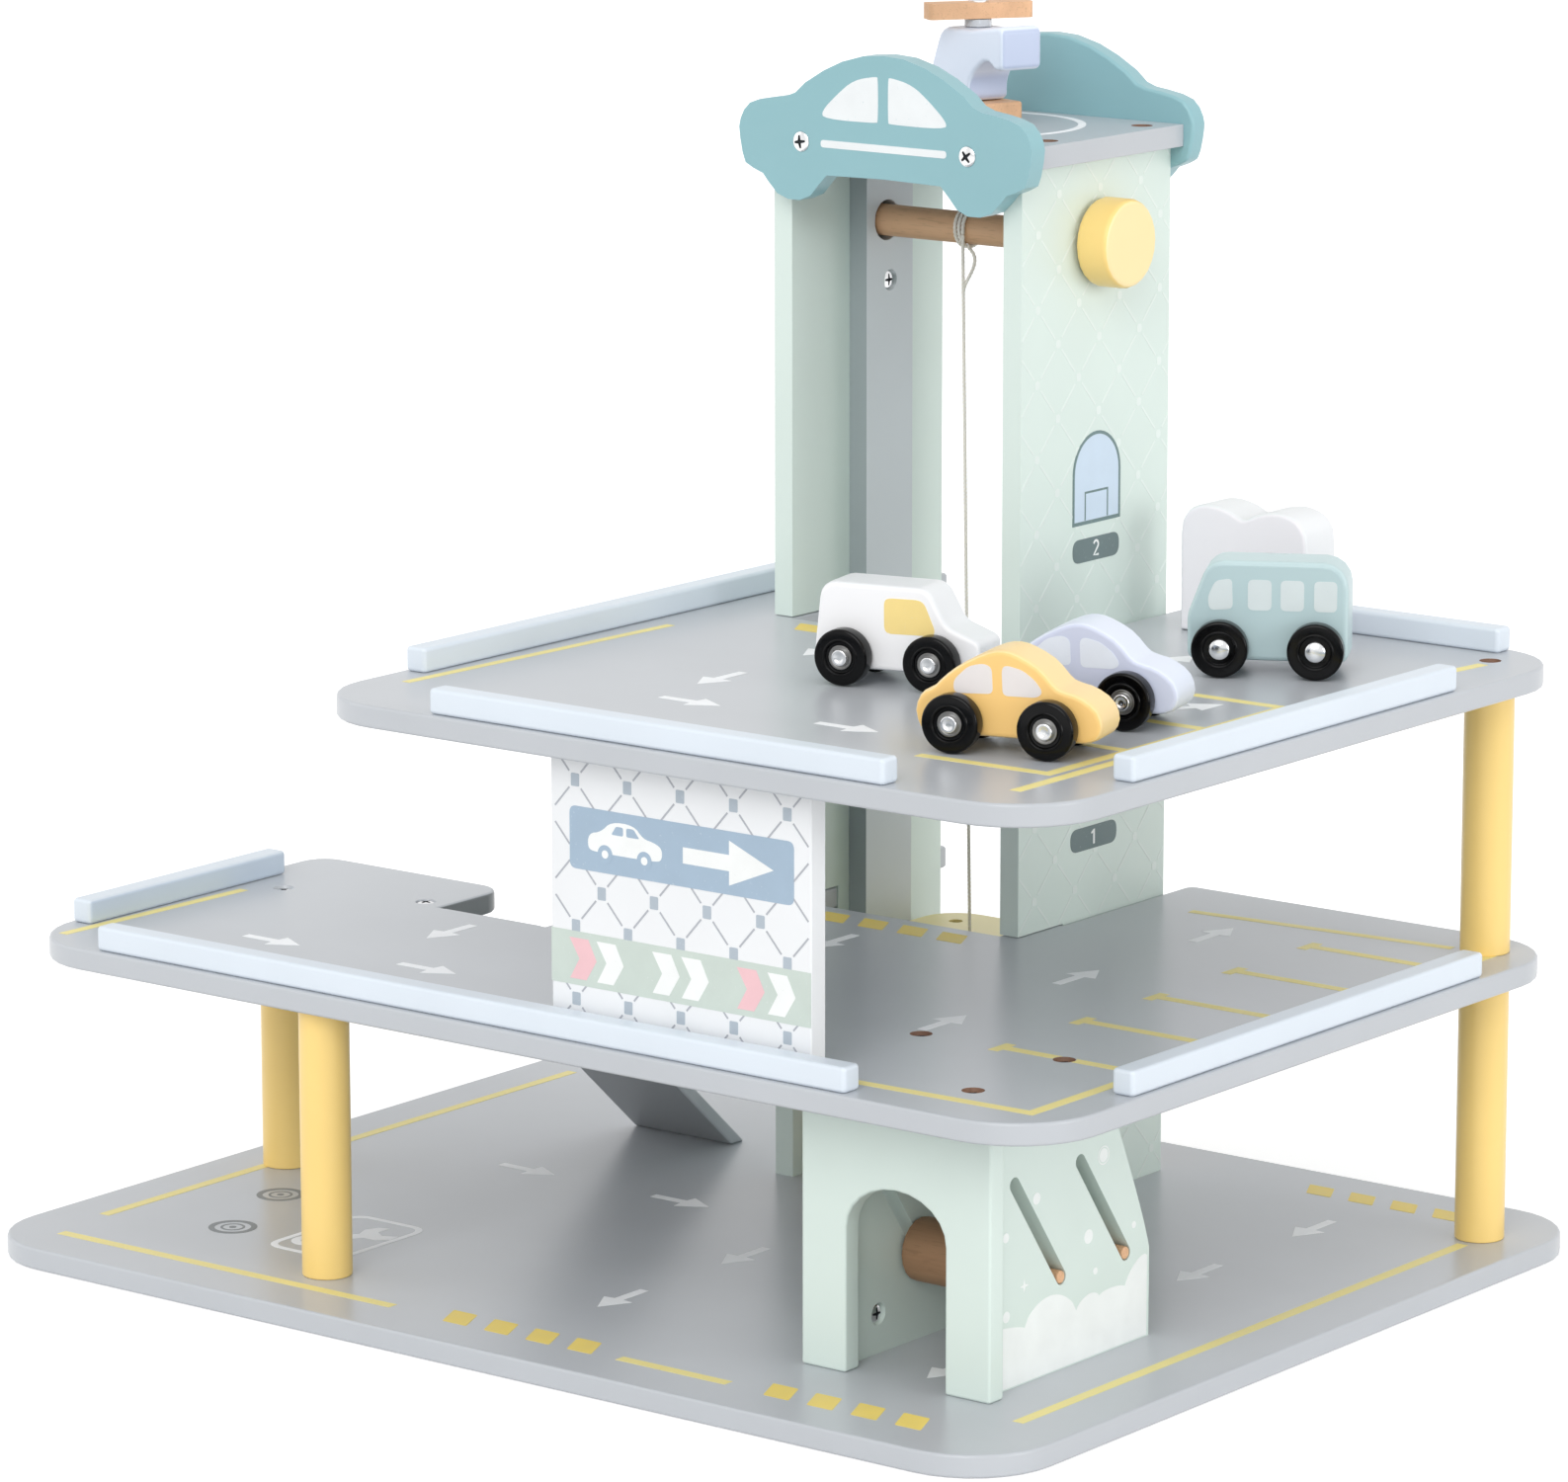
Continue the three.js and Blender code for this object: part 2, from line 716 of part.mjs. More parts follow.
function makeCabin() {
  const left = shaftMiddle - cabinSide / 2;
  const front = cabinMiddle - cabinSide / 2;
  const plate = () => roundedOutline([
    [left, front, cabinCorner],
    [left + cabinSide, front, cabinCorner],
    [left + cabinSide, front + cabinSide, cabinCorner],
    [left, front + cabinSide, cabinCorner],
  ]);
  addPiece('lift_floor', lyingBoard(plate(), baseTop), yellowPaint);

  const roof = plate();
  const roofUnderside = baseTop + cabinHeight - boardThickness;
  const posts = [['left', left + postInset], ['right', left + cabinSide - postInset]];
  const rows = [['front', front + postInset], ['back', front + cabinSide - postInset]];
  rows.forEach(([row, y]) => {
    posts.forEach(([side, x]) => {
      roof.holes.push(circleHole(x, y, cabinHoleRadius, holeSides / 2));
      const foot = baseTop + boardThickness;
      const post = rod(postRadius, roofUnderside - foot, holeSides).translate(x, y, foot);
      addPiece(`lift_post_${row}_${side}`, post, beech);
    });
  });
  addPiece('lift_roof', lyingBoard(roof, roofUnderside), yellowPaint);
}

// The cord's path round the axle: straight up at the back, round the axle, straight down
class WindingPath extends THREE.Curve {
  getPoint(share, target = new THREE.Vector3()) {
    const radius = axleRadius + fitGap + cordRadius;
    const straight = 2 * cordRadius;
    const round = 2 * Math.PI * radius * windingTurns;
    const walked = share * (round + 2 * straight) - straight;
    const kept = THREE.MathUtils.clamp(walked, 0, round);
    const angle = kept / radius;
    const before = Math.min(walked, 0);
    const after = Math.max(walked - round, 0);
    const x = shaftMiddle - (round - kept) / round * windingTurns * cordPitch;
    const y = axleDepth + radius * Math.cos(angle);
    const z = axleHeight + radius * Math.sin(angle) + before - after;
    return target.set(x, y, z);
  }
}

function tubeAlong(path, sides, steps) {
  const section = new THREE.Shape(circleHole(0, 0, cordRadius, sides).getPoints());
  return new THREE.ExtrudeGeometry(section, { extrudePath: path, steps });
}

// The least gap between one turn of the winding and the next
function leastSelfGap(path) {
  const count = Math.round(windingTurns * gapPointsPerTurn);
  const points = path.getSpacedPoints(count);
  let least = Infinity;
  points.forEach((point, index) => {
    points.slice(index + gapPointsPerTurn / 2).forEach((other) => {
      least = Math.min(least, point.distanceTo(other));
    });
  });
  return least - 2 * cordRadius;
}

function makeWinch() {
  const axleStart = towerLeft - axleLeftEnd;
  const knobStart = towerRight + knobGap;
  const axleLength = knobStart + knobBoreDepth - fitGap - axleStart;
  const axle = rod(axleRadius, axleLength);
  addPiece('winch_axle', layAlongX(axle, axleStart, axleDepth, axleHeight), beech);

  const inner = knobRadius - knobEdge;
  const chamfer = knobEdge * Math.SQRT1_2;
  const knob = turned([
    [0, knobBoreDepth],
    [axleRadius + fitGap, knobBoreDepth],
    [axleRadius + fitGap, 0],
    [inner, 0],
    [inner + chamfer, knobEdge - chamfer],
    [knobRadius, knobEdge],
    [knobRadius, knobThickness - knobEdge],
    [inner + chamfer, knobThickness - knobEdge + chamfer],
    [inner, knobThickness],
    [0, knobThickness],
  ]);
  addPiece('winch_knob', layAlongX(knob, knobStart, axleDepth, axleHeight), yellowPaint);

  const winding = new WindingPath();
  const windingSteps = Math.round(windingTurns * windingStepsPerTurn) + windingEndSteps;
  addPiece('cord_winding', tubeAlong(winding, cordSides, windingSteps), cordPaint);
  console.log('winding least gap to itself, mm:', leastSelfGap(winding).toFixed(2));

  const fallStart = winding.getPoint(1).sub(new THREE.Vector3(0, 0, fitGap));
  const fallEnd = new THREE.Vector3(shaftMiddle, cabinMiddle, baseTop + cabinHeight + fitGap);
  const fall = new THREE.LineCurve3(fallStart, fallEnd);
  addPiece('lift_cord', tubeAlong(fall, fallSides, cordFallSteps), cordPaint);
}

function wheelPair() {
  const wheelInner = vehicleThickness / 2 + wheelGap;
  const wheelOuter = wheelInner + wheelThickness;
  const hubEnd = wheelOuter + hubStand;
  const oneSide = [
    [0, hubEnd],
    [hubRadius, hubEnd],
    [hubRadius, wheelOuter],
    [wheelRadius, wheelOuter],
    [wheelRadius, wheelInner],
    [wheelAxleRadius, wheelInner],
  ];
  const otherSide = oneSide.map(([radius, across]) => [radius, -across]).reverse();
  return layAlongY(turned([...oneSide, ...otherSide].reverse(), wheelSides), 0, 0, 0);
}

function makeVehicle(name, placeShares, turn, material, outline, ends = ['rear', 'front']) {
  const vehicle = new THREE.Group();
  vehicle.position.set(
    levelTwoLeft + placeShares[0] * (levelRight - levelTwoLeft),
    levelFront + placeShares[1] * (levelBack - levelFront),
    levelTwoTop + fitGap,
  );
  vehicle.rotation.z = THREE.MathUtils.degToRad(turn);
  garage.add(vehicle);
  const block = crossPanel(outline, -vehicleThickness / 2, vehicleThickness, vehicleEdge);
  const axleBore = (x) => layAlongY(
    rod(wheelAxleRadius + axleBoreGap, 2 * vehicleThickness, holeSides / 2),
    x,
    -vehicleThickness,
    wheelRadius,
  );
  addPiece(`${name}_body`, cutAway(block, [axleBore(0), axleBore(wheelBase)]), material, vehicle);
  ends.forEach((end, index) => {
    const wheels = wheelPair().translate(index * wheelBase, 0, wheelRadius);
    addPiece(`${name}_${end}_wheels`, wheels, rubber, vehicle);
  });
}

function makeVehicles() {
  const carLength = carTail + wheelBase + carNose;
  const vanLength = vanTail + wheelBase + vanNose;
  const busLength = busNose + wheelBase + busTail;
  const carOutline = smoothOutline(carOutlineShares, carLength, carHeight, -carTail, vehicleFloor);
  const vanOutline = corneredOutline(vanCornerShares, vanLength, vanHeight, -vanTail, vehicleFloor);
  const busOutline = corneredOutline(busCornerShares, busLength, busHeight, -busNose, vehicleFloor);
  makeVehicle('yellow_car', yellowCarPlaceShares, yellowCarTurn, carYellowPaint, carOutline);
  makeVehicle('lilac_car', lilacCarPlaceShares, lilacCarTurn, lilacPaint, carOutline);
  makeVehicle('white_van', whiteVanPlaceShares, whiteVanTurn, whitePaint, vanOutline);
  makeVehicle('green_bus', greenBusPlaceShares, greenBusTurn, busPaint, busOutline, ['front', 'rear']);
}

function makeCloud() {
  const left = towerRight + cloudFromTower;
  const outline = smoothOutline(cloudOutlineShares, cloudWidth, cloudHeight, left, levelTwoTop);
  const front = levelBack - cloudBackInset;
  addPiece('cloud_block', crossPanel(outline, front, cloudThickness, cloudEdge), whitePaint);
}

function makeHelicopter() {
  const helicopter = new THREE.Group();
  helicopter.position.set(
    towerLeft + helicopterInset[0],
    towerFront + helicopterInset[1],
    roofTop + fitGap,
  );
  helicopter.rotation.z = THREE.MathUtils.degToRad(helicopterTurn);
  garage.add(helicopter);
  const middle = helicopterThickness / 2;

  const skidPlan = roundedOutline([
    [skidRearReach - skidLength, middle - skidWidth / 2, railCorner],
    [skidRearReach, middle - skidWidth / 2, railCorner],
    [skidRearReach, middle + skidWidth / 2, railCorner],
    [skidRearReach - skidLength, middle + skidWidth / 2, railCorner],
  ]);
  addPiece('helicopter_skid', lyingBoard(skidPlan, 0, skidHeight), beech, helicopter);

  const foot = skidHeight + fitGap;
  const outline = corneredOutline(
    helicopterCornerShares,
    helicopterLength,
    helicopterHeight,
    -helicopterNose,
    foot,
  );
  const block = crossPanel(outline, 0, helicopterThickness, helicopterEdge);
  const back = foot + helicopterBackHeight;
  const mastBore = rod(mastRadius + fitGap, 2 * mastDepth, holeSides / 2)
    .translate(-mastSetback, middle, back - mastDepth);
  addPiece('helicopter_body', cutAway(block, [mastBore]), lilacPaint, helicopter);

  const spacerFoot = back + fitGap;
  const spacer = turned([
    [mastHoleRadius, 0],
    [spacerRadius, 0],
    [spacerRadius, spacerHeight],
    [mastHoleRadius, spacerHeight],
    [mastHoleRadius, 0],
  ], holeSides).translate(-mastSetback, middle, spacerFoot);
  addPiece('rotor_spacer', spacer, spacerPlastic, helicopter);

  const rotorFoot = spacerFoot + spacerHeight + fitGap;
  const rotorPlan = roundedOutline([
    [-rotorLength / 2, -rotorWidth / 2, railCorner],
    [rotorLength / 2, -rotorWidth / 2, railCorner],
    [rotorLength / 2, rotorWidth / 2, railCorner],
    [-rotorLength / 2, rotorWidth / 2, railCorner],
  ]);
  rotorPlan.holes.push(circleHole(0, 0, mastHoleRadius, holeSides / 2));
  const rotor = lyingBoard(rotorPlan, 0, rotorHeight)
    .rotateZ(THREE.MathUtils.degToRad(rotorTurn))
    .translate(-mastSetback, middle, rotorFoot);
  addPiece('helicopter_rotor', rotor, beech, helicopter);

  const headFoot = rotorFoot + rotorHeight + fitGap;
  const screwFoot = back - mastDepth + fitGap;
  const screw = turned([
    [0, screwFoot],
    [mastRadius, screwFoot],
    [mastRadius, headFoot],
    [mastHeadRadius, headFoot],
    [mastHeadRadius, headFoot + mastHeadHeight / 2],
    [mastHeadRadius / 2, headFoot + mastHeadHeight],
    [0, headFoot + mastHeadHeight],
  ], holeSides).translate(-mastSetback, middle, 0);
  addPiece('rotor_screw', screw, steel, helicopter);
}

makeBoards();
makeTower();
makePanelAndColumns();
makeRails();
makeRamp();
makeCarWash();
makeCabin();
makeWinch();
makeVehicles();
makeCloud();
makeHelicopter();

const part = new THREE.Group();
part.add(garage);

export default part;
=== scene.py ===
import json
import math

import bmesh
import bpy
from mathutils import Matrix, Vector, geometry

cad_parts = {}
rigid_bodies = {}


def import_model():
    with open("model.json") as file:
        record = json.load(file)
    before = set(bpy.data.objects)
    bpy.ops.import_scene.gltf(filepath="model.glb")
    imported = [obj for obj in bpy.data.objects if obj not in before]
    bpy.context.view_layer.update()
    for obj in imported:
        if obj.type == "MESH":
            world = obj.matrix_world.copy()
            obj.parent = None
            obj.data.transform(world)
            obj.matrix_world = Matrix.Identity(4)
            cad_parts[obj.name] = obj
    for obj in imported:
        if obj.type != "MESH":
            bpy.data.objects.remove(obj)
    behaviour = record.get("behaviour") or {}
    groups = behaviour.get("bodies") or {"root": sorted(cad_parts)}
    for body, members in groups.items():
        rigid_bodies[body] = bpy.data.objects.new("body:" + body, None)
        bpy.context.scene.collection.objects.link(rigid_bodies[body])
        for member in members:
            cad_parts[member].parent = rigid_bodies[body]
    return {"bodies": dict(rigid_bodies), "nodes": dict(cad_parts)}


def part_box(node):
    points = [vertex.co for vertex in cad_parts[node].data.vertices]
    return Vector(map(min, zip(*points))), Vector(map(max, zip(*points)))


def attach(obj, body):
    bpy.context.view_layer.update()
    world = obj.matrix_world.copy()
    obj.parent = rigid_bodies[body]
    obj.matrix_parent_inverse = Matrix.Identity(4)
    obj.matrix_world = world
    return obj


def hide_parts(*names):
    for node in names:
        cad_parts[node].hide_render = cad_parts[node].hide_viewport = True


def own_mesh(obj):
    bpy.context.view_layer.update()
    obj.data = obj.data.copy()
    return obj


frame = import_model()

mm = 0.001
nodes = frame["nodes"]
cadObjects = set(nodes.values()) | set(frame["bodies"].values())
for leftover in [thing for thing in bpy.data.objects if thing not in cadObjects]:
    bpy.data.objects.remove(leftover)
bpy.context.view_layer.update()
print("frame loaded:", len(nodes), "nodes")


# places and directions

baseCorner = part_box("base_board")[0]
upward, rightward = Vector((0, 0, 1)), Vector((1, 0, 0))


def at(x, y, z):  # millimetres from the base board's front left corner
    return Vector((baseCorner.x + x * mm, baseCorner.y + y * mm, z * mm))


def middleOf(node):
    low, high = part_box(node)
    return (low + high) / 2


def inPiece(name, direction):
    return tuple((nodes[name].matrix_world.to_3x3().inverted() @ direction).normalized())


def turnBy(degrees, axis):
    return Matrix.Rotation(math.radians(degrees), 4, axis)


def placed(name, data):
    thing = bpy.data.objects.new(name, data)
    bpy.context.scene.collection.objects.link(thing)
    return thing


# camera

camera = {
    "place": (1.6990, -2.1833, 0.7818), "forward": (-0.5973, 0.7762, -0.2019),
    "lens": 163.0, "sensor": 36.0, "shift": (-0.0238, -0.0024), "clip": (0.05, 100),
}


def makeCamera():
    lens = bpy.data.cameras.new("camera")
    lens.lens = camera["lens"]
    lens.sensor_width = camera["sensor"]
    lens.shift_x, lens.shift_y = camera["shift"]
    lens.clip_start, lens.clip_end = camera["clip"]
    stand = placed("camera", lens)
    stand.location = camera["place"]
    stand.rotation_euler = Vector(camera["forward"]).to_track_quat("-Z", "Y").to_euler()
    bpy.context.scene.camera = stand


makeCamera()
print("camera set")


# materials

colours = {  # as the photograph shows them in plain light, sRGB; those noted below are lit or shaded copies that paint light and shade
    # painted light and shade: the guides' grey is lighter than the boards' as painted light, and the guides'
    # front edge, the ramp's underside and the face in the ramp notch are darker as painted shade
    "board": "bec2c7", "boardUnder": "c6cacf", "guide": "d0d7db", "guideEdge": "9aa4a6",
    "rampUnder": "9da1a5", "notch": "75797b", "mint": "dbe9e2", "teal": "8ebac1", "white": "edeff1",
    # painted light and shade: the cloud's broad faces and the van's sides are lighter, and the cloud's rim
    # and the left rail's right face are darker
    "cloud": "eceef0", "cloudFaceLit": "fbf8fc", "van": "fdfdfe", "rail": "dde6ef", "railSide": "cad7e5",
    # painted light and shade: the knob's end face is lighter; the yellow car's rims are lighter and its sides
    # darker
    "yellow": "fdda86", "knobFaceLit": "fee6ac", "cabin": "f6e6a4", "carRim": "ffdf9f", "carSide": "fdd080",
    # painted light and shade: the lilac car's and the bus's rims are lighter and their sides darker
    "lilacRim": "e3eaf8", "lilacSide": "d5dcf2", "busRim": "c2d8da", "busSide": "b6cdd0",
    # painted shade: the helicopter's faces turned one way along it are darker, and the rollers' beech is a
    # darker beech, darkened further as painted shade
    "helicopter": "e6eefd", "helicopterEnd": "bec9e2", "beech": "e4b58c", "beechDarkShaded": "aa8261",
    # painted shade: the winch axle's beech is darkened for the sign's shadow
    "axle": "d3a983", "fibre": "7d5a45", "cotton": "fff8ea", "tyre": "040405", "spacer": "c3c6ca",
    # painted shade in the screws' cross recesses, which are dark steel, and a painted reflection on the wheel
    # flanges, which are darker steel
    "steel": "eff0f1", "recess": "404448", "flange": "8b8a88",
    "yellowInk": "f4e697", "dashInk": "f3d971", "whiteInk": "fbfdff", "foamInk": "f6faf8",
    "greyInk": "858a8c", "latticeInk": "b1b4bb", "squareInk": "b1bcc6", "plateInk": "a3b8cb",
    "bandInk": "cad6ce", "chevronInk": "f4f6f5", "pinkInk": "efc3c8", "wallInk": "e6f0eb",
    "outlineInk": "6f8787", "glassInk": "cfe0f0", "pillInk": "6d7f80", "signInk": "eef2f3",
    "carWindowInk": "ece6e4", "lilacWindowInk": "ecf3fe", "vanWindowInk": "ffe494",
    "busWindowInk": "d6e0e1",
}
inkGrounds = {  # the paint that shows through the pinholes of each ink
    "boardUnder": ("yellowInk", "dashInk", "whiteInk", "greyInk"),
    "mint": ("foamInk", "wallInk", "outlineInk", "glassInk", "pillInk"),
    "white": ("latticeInk", "squareInk", "plateInk", "bandInk", "vanWindowInk"),
    "bandInk": ("chevronInk", "pinkInk"), "teal": ("signInk",), "carWindowInk": ("carWindowInk",),
    "lilacSide": ("lilacWindowInk",), "busSide": ("busWindowInk",),
}


def linear(name):  # a colour by its name, off the sRGB curve
    code = colours[name]
    channels = [int(code[start:start + 2], 16) / 255 for start in (0, 2, 4)]
    return [c / 12.92 if c <= 0.04045 else ((c + 0.055) / 1.055) ** 2.4 for c in channels] + [1.0]


def shaded(colour, share):
    return [channel * share for channel in colour[:3]] + [1.0]


def startMaterial(name):
    material = bpy.data.materials.new(name)
    material.use_nodes = True
    return material, material.node_tree


def addNode(tree, kind, inputs=None, **settings):
    node = tree.nodes.new(kind)
    for key, value in settings.items():
        setattr(node, key, value)
    for key, value in (inputs or {}).items():
        if isinstance(value, bpy.types.NodeSocket):
            tree.links.new(value, node.inputs[key])
        else:
            node.inputs[key].default_value = value
    return node


def objectPlace(tree, scale=(1, 1, 1), turn=(0, 0, 0)):
    place = addNode(tree, "ShaderNodeTexCoord").outputs["Object"]
    return addNode(tree, "ShaderNodeMapping", {"Vector": place, "Scale": scale, "Rotation": turn}).outputs[0]


def noise(tree, place, scale, detail=2.0, rough=0.5, distortion=0.0):
    return addNode(tree, "ShaderNodeTexNoise", {
        "Vector": place, "Scale": scale, "Detail": detail, "Roughness": rough, "Distortion": distortion,
    }).outputs["Fac"]


def spread(tree, value, low, high, fromLow=0.3, fromHigh=0.7):
    return addNode(tree, "ShaderNodeMapRange", {
        "Value": value, "From Min": fromLow, "From Max": fromHigh, "To Min": low, "To Max": high,
    }).outputs[0]


def mixed(tree, share, first, second, blend="MIX"):
    node = addNode(tree, "ShaderNodeMix", data_type="RGBA", blend_type=blend)
    for socket, value in zip((node.inputs[0], node.inputs[6], node.inputs[7]), (share, first, second)):
        if isinstance(value, bpy.types.NodeSocket):
            tree.links.new(value, socket)
        else:
            socket.default_value = value
    return node.outputs[2]


def bumped(tree, height, strength, distance, under=None):
    inputs = {"Height": height, "Strength": strength, "Distance": distance * mm}
    if under is not None:
        inputs["Normal"] = under
    return addNode(tree, "ShaderNodeBump", inputs).outputs[0]


def worked(tree, operation, *values, kind="ShaderNodeMath"):
    return addNode(tree, kind, dict(enumerate(values)), operation=operation).outputs["Value"]


def finished(material, tone, rough, normal, fixed=None):
    tree = material.node_tree
    shader = tree.nodes["Principled BSDF"]
    for socket, value in zip(("Base Color", "Roughness", "Normal"), (tone, rough, normal)):
        tree.links.new(value, shader.inputs[socket])
    for socket, value in (fixed or {}).items():
        shader.inputs[socket].default_value = value
    return material


paintLook = {
    "clouding": 22, "cloudShare": 0.03, "peel": 420, "peelBump": (0.35, 0.012), "specks": 900,
    "speckShare": 0.02, "speckFrom": (0.74, 0.8), "speckTone": (0.2, 0.2, 0.2, 1), "scuffs": (90, 220, 220),
    "scuffShare": 0.006, "scuffFrom": (0.5, 0.8), "rough": (0.34, 0.38), "coat": 0.1, "coatRough": 0.28,
    "other": None, "otherFrom": (0.7, 0.9),
}


def paintedWood(name, paint, **changes):
    look = {**paintLook, **changes}
    material, tree = startMaterial(name)
    colour = linear(paint)
    place = objectPlace(tree)
    cloud = noise(tree, place, look["clouding"], 2)
    if look["other"]:  # faces turned one way get a second colour, which paints light and shade on that side
        second, direction, bothWays, *near = look["other"]
        facing = addNode(tree, "ShaderNodeTexCoord").outputs["Normal"]
        facing = worked(tree, "DOT_PRODUCT", facing, direction, kind="ShaderNodeVectorMath")
        if bothWays:
            facing = worked(tree, "ABSOLUTE", facing)
        share = spread(tree, facing, 0, 1, *look["otherFrom"])
        if near:  # only within this reach of one place
            gap = worked(tree, "DISTANCE", place, near[0], kind="ShaderNodeVectorMath")
            share = worked(tree, "MULTIPLY", share, worked(tree, "LESS_THAN", gap, near[1]))
        colour = mixed(tree, share, colour, linear(second))
        worn = mixed(tree, 1.0, colour, [1 - look["cloudShare"]] * 3 + [1.0], "MULTIPLY")
    else:
        worn = shaded(colour, 1 - look["cloudShare"])
    tone = mixed(tree, spread(tree, cloud, 0, 1), worn, colour)
    specks = noise(tree, place, look["specks"], 1)  # dust in the lacquer
    dust = spread(tree, specks, 0, look["speckShare"], *look["speckFrom"])
    tone = mixed(tree, dust, tone, look["speckTone"])
    scuffs = noise(tree, objectPlace(tree, look["scuffs"]), 1.0)
    tone = mixed(tree, spread(tree, scuffs, 0, look["scuffShare"], *look["scuffFrom"]), tone, (1, 1, 1, 1))
    rough = spread(tree, noise(tree, place, look["clouding"] / 2, 0), *look["rough"], 0, 1)
    peel = bumped(tree, noise(tree, place, look["peel"], 1), *look["peelBump"])
    return finished(material, tone, rough, peel, {
        "Coat Weight": look["coat"], "Coat Roughness": look["coatRough"],
    })


beechLook = {
    "streaks": (9, 420, 420), "bands": (3, 70, 70), "flecks": (130, 1500, 1500), "bandShades": (0.84, 1.04),
    "streakShade": 0.8, "streakShare": 0.45, "streakFrom": (0.45, 0.75), "fleckShade": 0.55,
    "fleckShare": 0.38, "fleckFrom": (0.6, 0.7), "rough": (0.5, 0.66), "streakBump": (0.5, 0.05),
    "fleckBump": (0.3, 0.025),
}
grainTurns = {"x": (0, 0, 0), "z": (0, math.radians(90), 0)}  # brings the grain onto the piece's own axis


def beechWood(name, wood, axis="x", **changes):
    look = {**beechLook, **changes}
    material, tree = startMaterial(name)
    colour = linear(wood)
    turned = objectPlace(tree, turn=grainTurns[axis])

    def along(scale):
        return addNode(tree, "ShaderNodeMapping", {"Vector": turned, "Scale": scale}).outputs[0]

    streak = noise(tree, along(look["streaks"]), 1.0, 3, 0.6)
    band = noise(tree, along(look["bands"]), 1.0, 2, 0.5, 0.6)
    fleck = noise(tree, along(look["flecks"]), 1.0, 1)
    tone = mixed(tree, spread(tree, band, 0, 1), *(shaded(colour, shade) for shade in look["bandShades"]))
    for grain, kind in ((streak, "streak"), (fleck, "fleck")):
        share = spread(tree, grain, 0, look[kind + "Share"], *look[kind + "From"])
        tone = mixed(tree, share, tone, shaded(colour, look[kind + "Shade"]))
    grain = bumped(tree, streak, *look["streakBump"])
    return finished(material, tone, spread(tree, streak, *look["rough"]),
                    bumped(tree, fleck, *look["fleckBump"], grain))


plasticLook = {
    "smudges": 120, "rough": (0.12, 0.24), "scuffs": (900, 900, 120), "scuffShade": 2.2,
    "scuffFrom": (0.64, 0.8), "grain": 700, "grainBump": (0.2, 0.02), "gloss": 0.2,
}


def mouldedPlastic(name, plastic):
    look = plasticLook
    material, tree = startMaterial(name)
    colour = linear(plastic)
    place = objectPlace(tree)
    scuff = noise(tree, objectPlace(tree, look["scuffs"]), 1.0)
    share = spread(tree, scuff, 0, 1, *look["scuffFrom"])
    tone = mixed(tree, share, colour, shaded(colour, look["scuffShade"]))
    rough = spread(tree, noise(tree, place, look["smudges"], 3), *look["rough"])
    grain = bumped(tree, noise(tree, place, look["grain"]), *look["grainBump"])
    return finished(material, tone, rough, grain, {"Specular IOR Level": look["gloss"]})


steelLook = {"smudges": 200, "smudgeShade": 0.88, "scratches": (1500, 300, 300), "scratchBump": (0.15, 0.01)}


def platedSteel(name, metal, rough=(0.12, 0.24)):
    look = steelLook
    material, tree = startMaterial(name)
    colour = linear(metal)
    smudge = noise(tree, objectPlace(tree), look["smudges"])
    scratch = noise(tree, objectPlace(tree, look["scratches"]), 1.0, 1)
    tone = mixed(tree, spread(tree, smudge, 0, 1), shaded(colour, look["smudgeShade"]), colour)
    return finished(material, tone, spread(tree, smudge, *rough),
                    bumped(tree, scratch, *look["scratchBump"]), {"Metallic": 1.0})


yarnLook = {
    "fibres": (2500, 2500, 700), "fibreShade": 0.88, "fuzz": 900, "rough": (0.8, 0.95), "bump": (0.3, 0.04),
    "Subsurface Weight": 0.35, "Subsurface Radius": (0.002, 0.0018, 0.0015), "Subsurface Scale": 1.0,
    "Sheen Weight": 0.25, "Sheen Roughness": 0.5,
}


def cottonYarn(name, yarn):
    look = yarnLook
    material, tree = startMaterial(name)
    colour = linear(yarn)
    fibre = noise(tree, objectPlace(tree, look["fibres"]), 1.0, 3)
    tone = mixed(tree, spread(tree, fibre, 0, 1), shaded(colour, look["fibreShade"]), colour)
    rough = spread(tree, noise(tree, objectPlace(tree), look["fuzz"]), *look["rough"])
    soft = {socket: value for socket, value in look.items() if socket.startswith(("Subsurface", "Sheen"))}
    return finished(material, tone, rough, bumped(tree, fibre, *look["bump"]), soft)


inkLook = {
    "patches": 90, "patchShade": 0.95, "dots": 900, "pinholes": 0.25, "pinholesFrom": (0.7, 0.8),
    "rough": (0.42, 0.55), "bump": (0.2, 0.02),
}


def printedInk(name, ground):
    look = inkLook
    material, tree = startMaterial(name)
    colour = linear(name)
    place = objectPlace(tree)
    patch = noise(tree, place, look["patches"], 4)
    dots = noise(tree, place, look["dots"], 1)
    tone = mixed(tree, spread(tree, patch, 0, 1), shaded(colour, look["patchShade"]), colour)
    tone = mixed(tree, spread(tree, dots, 0, look["pinholes"], *look["pinholesFrom"]), tone, linear(ground))
    return finished(material, tone, spread(tree, patch, *look["rough"]), bumped(tree, dots, *look["bump"]))


vehicleNames = ["yellow_car", "lilac_car", "white_van", "green_bus"]
vehicleEnds = {name: ("front", "rear") if name == "green_bus" else ("rear", "front") for name in vehicleNames}
vehicleTurns, sideways = {}, {}
for vehicle in vehicleNames:
    first, last = (middleOf(f"{vehicle}_{end}_wheels") for end in vehicleEnds[vehicle])
    vehicleTurns[vehicle] = math.atan2(last.y - first.y, last.x - first.x)
    across = Vector((-math.sin(vehicleTurns[vehicle]), math.cos(vehicleTurns[vehicle]), 0))
    sideways[vehicle] = inPiece(vehicle + "_body", across)
helicopterTurn = math.radians(-18)
ahead = Vector((math.cos(helicopterTurn), math.sin(helicopterTurn), 0))
sideways["helicopter"] = inPiece("helicopter_body", ahead)
# where the level board's faces in the ramp notch get painted shade, and how far it reaches
notch = {"place": (104, 190, 122), "reach": 60}
boardRough = (0.27, 0.31)

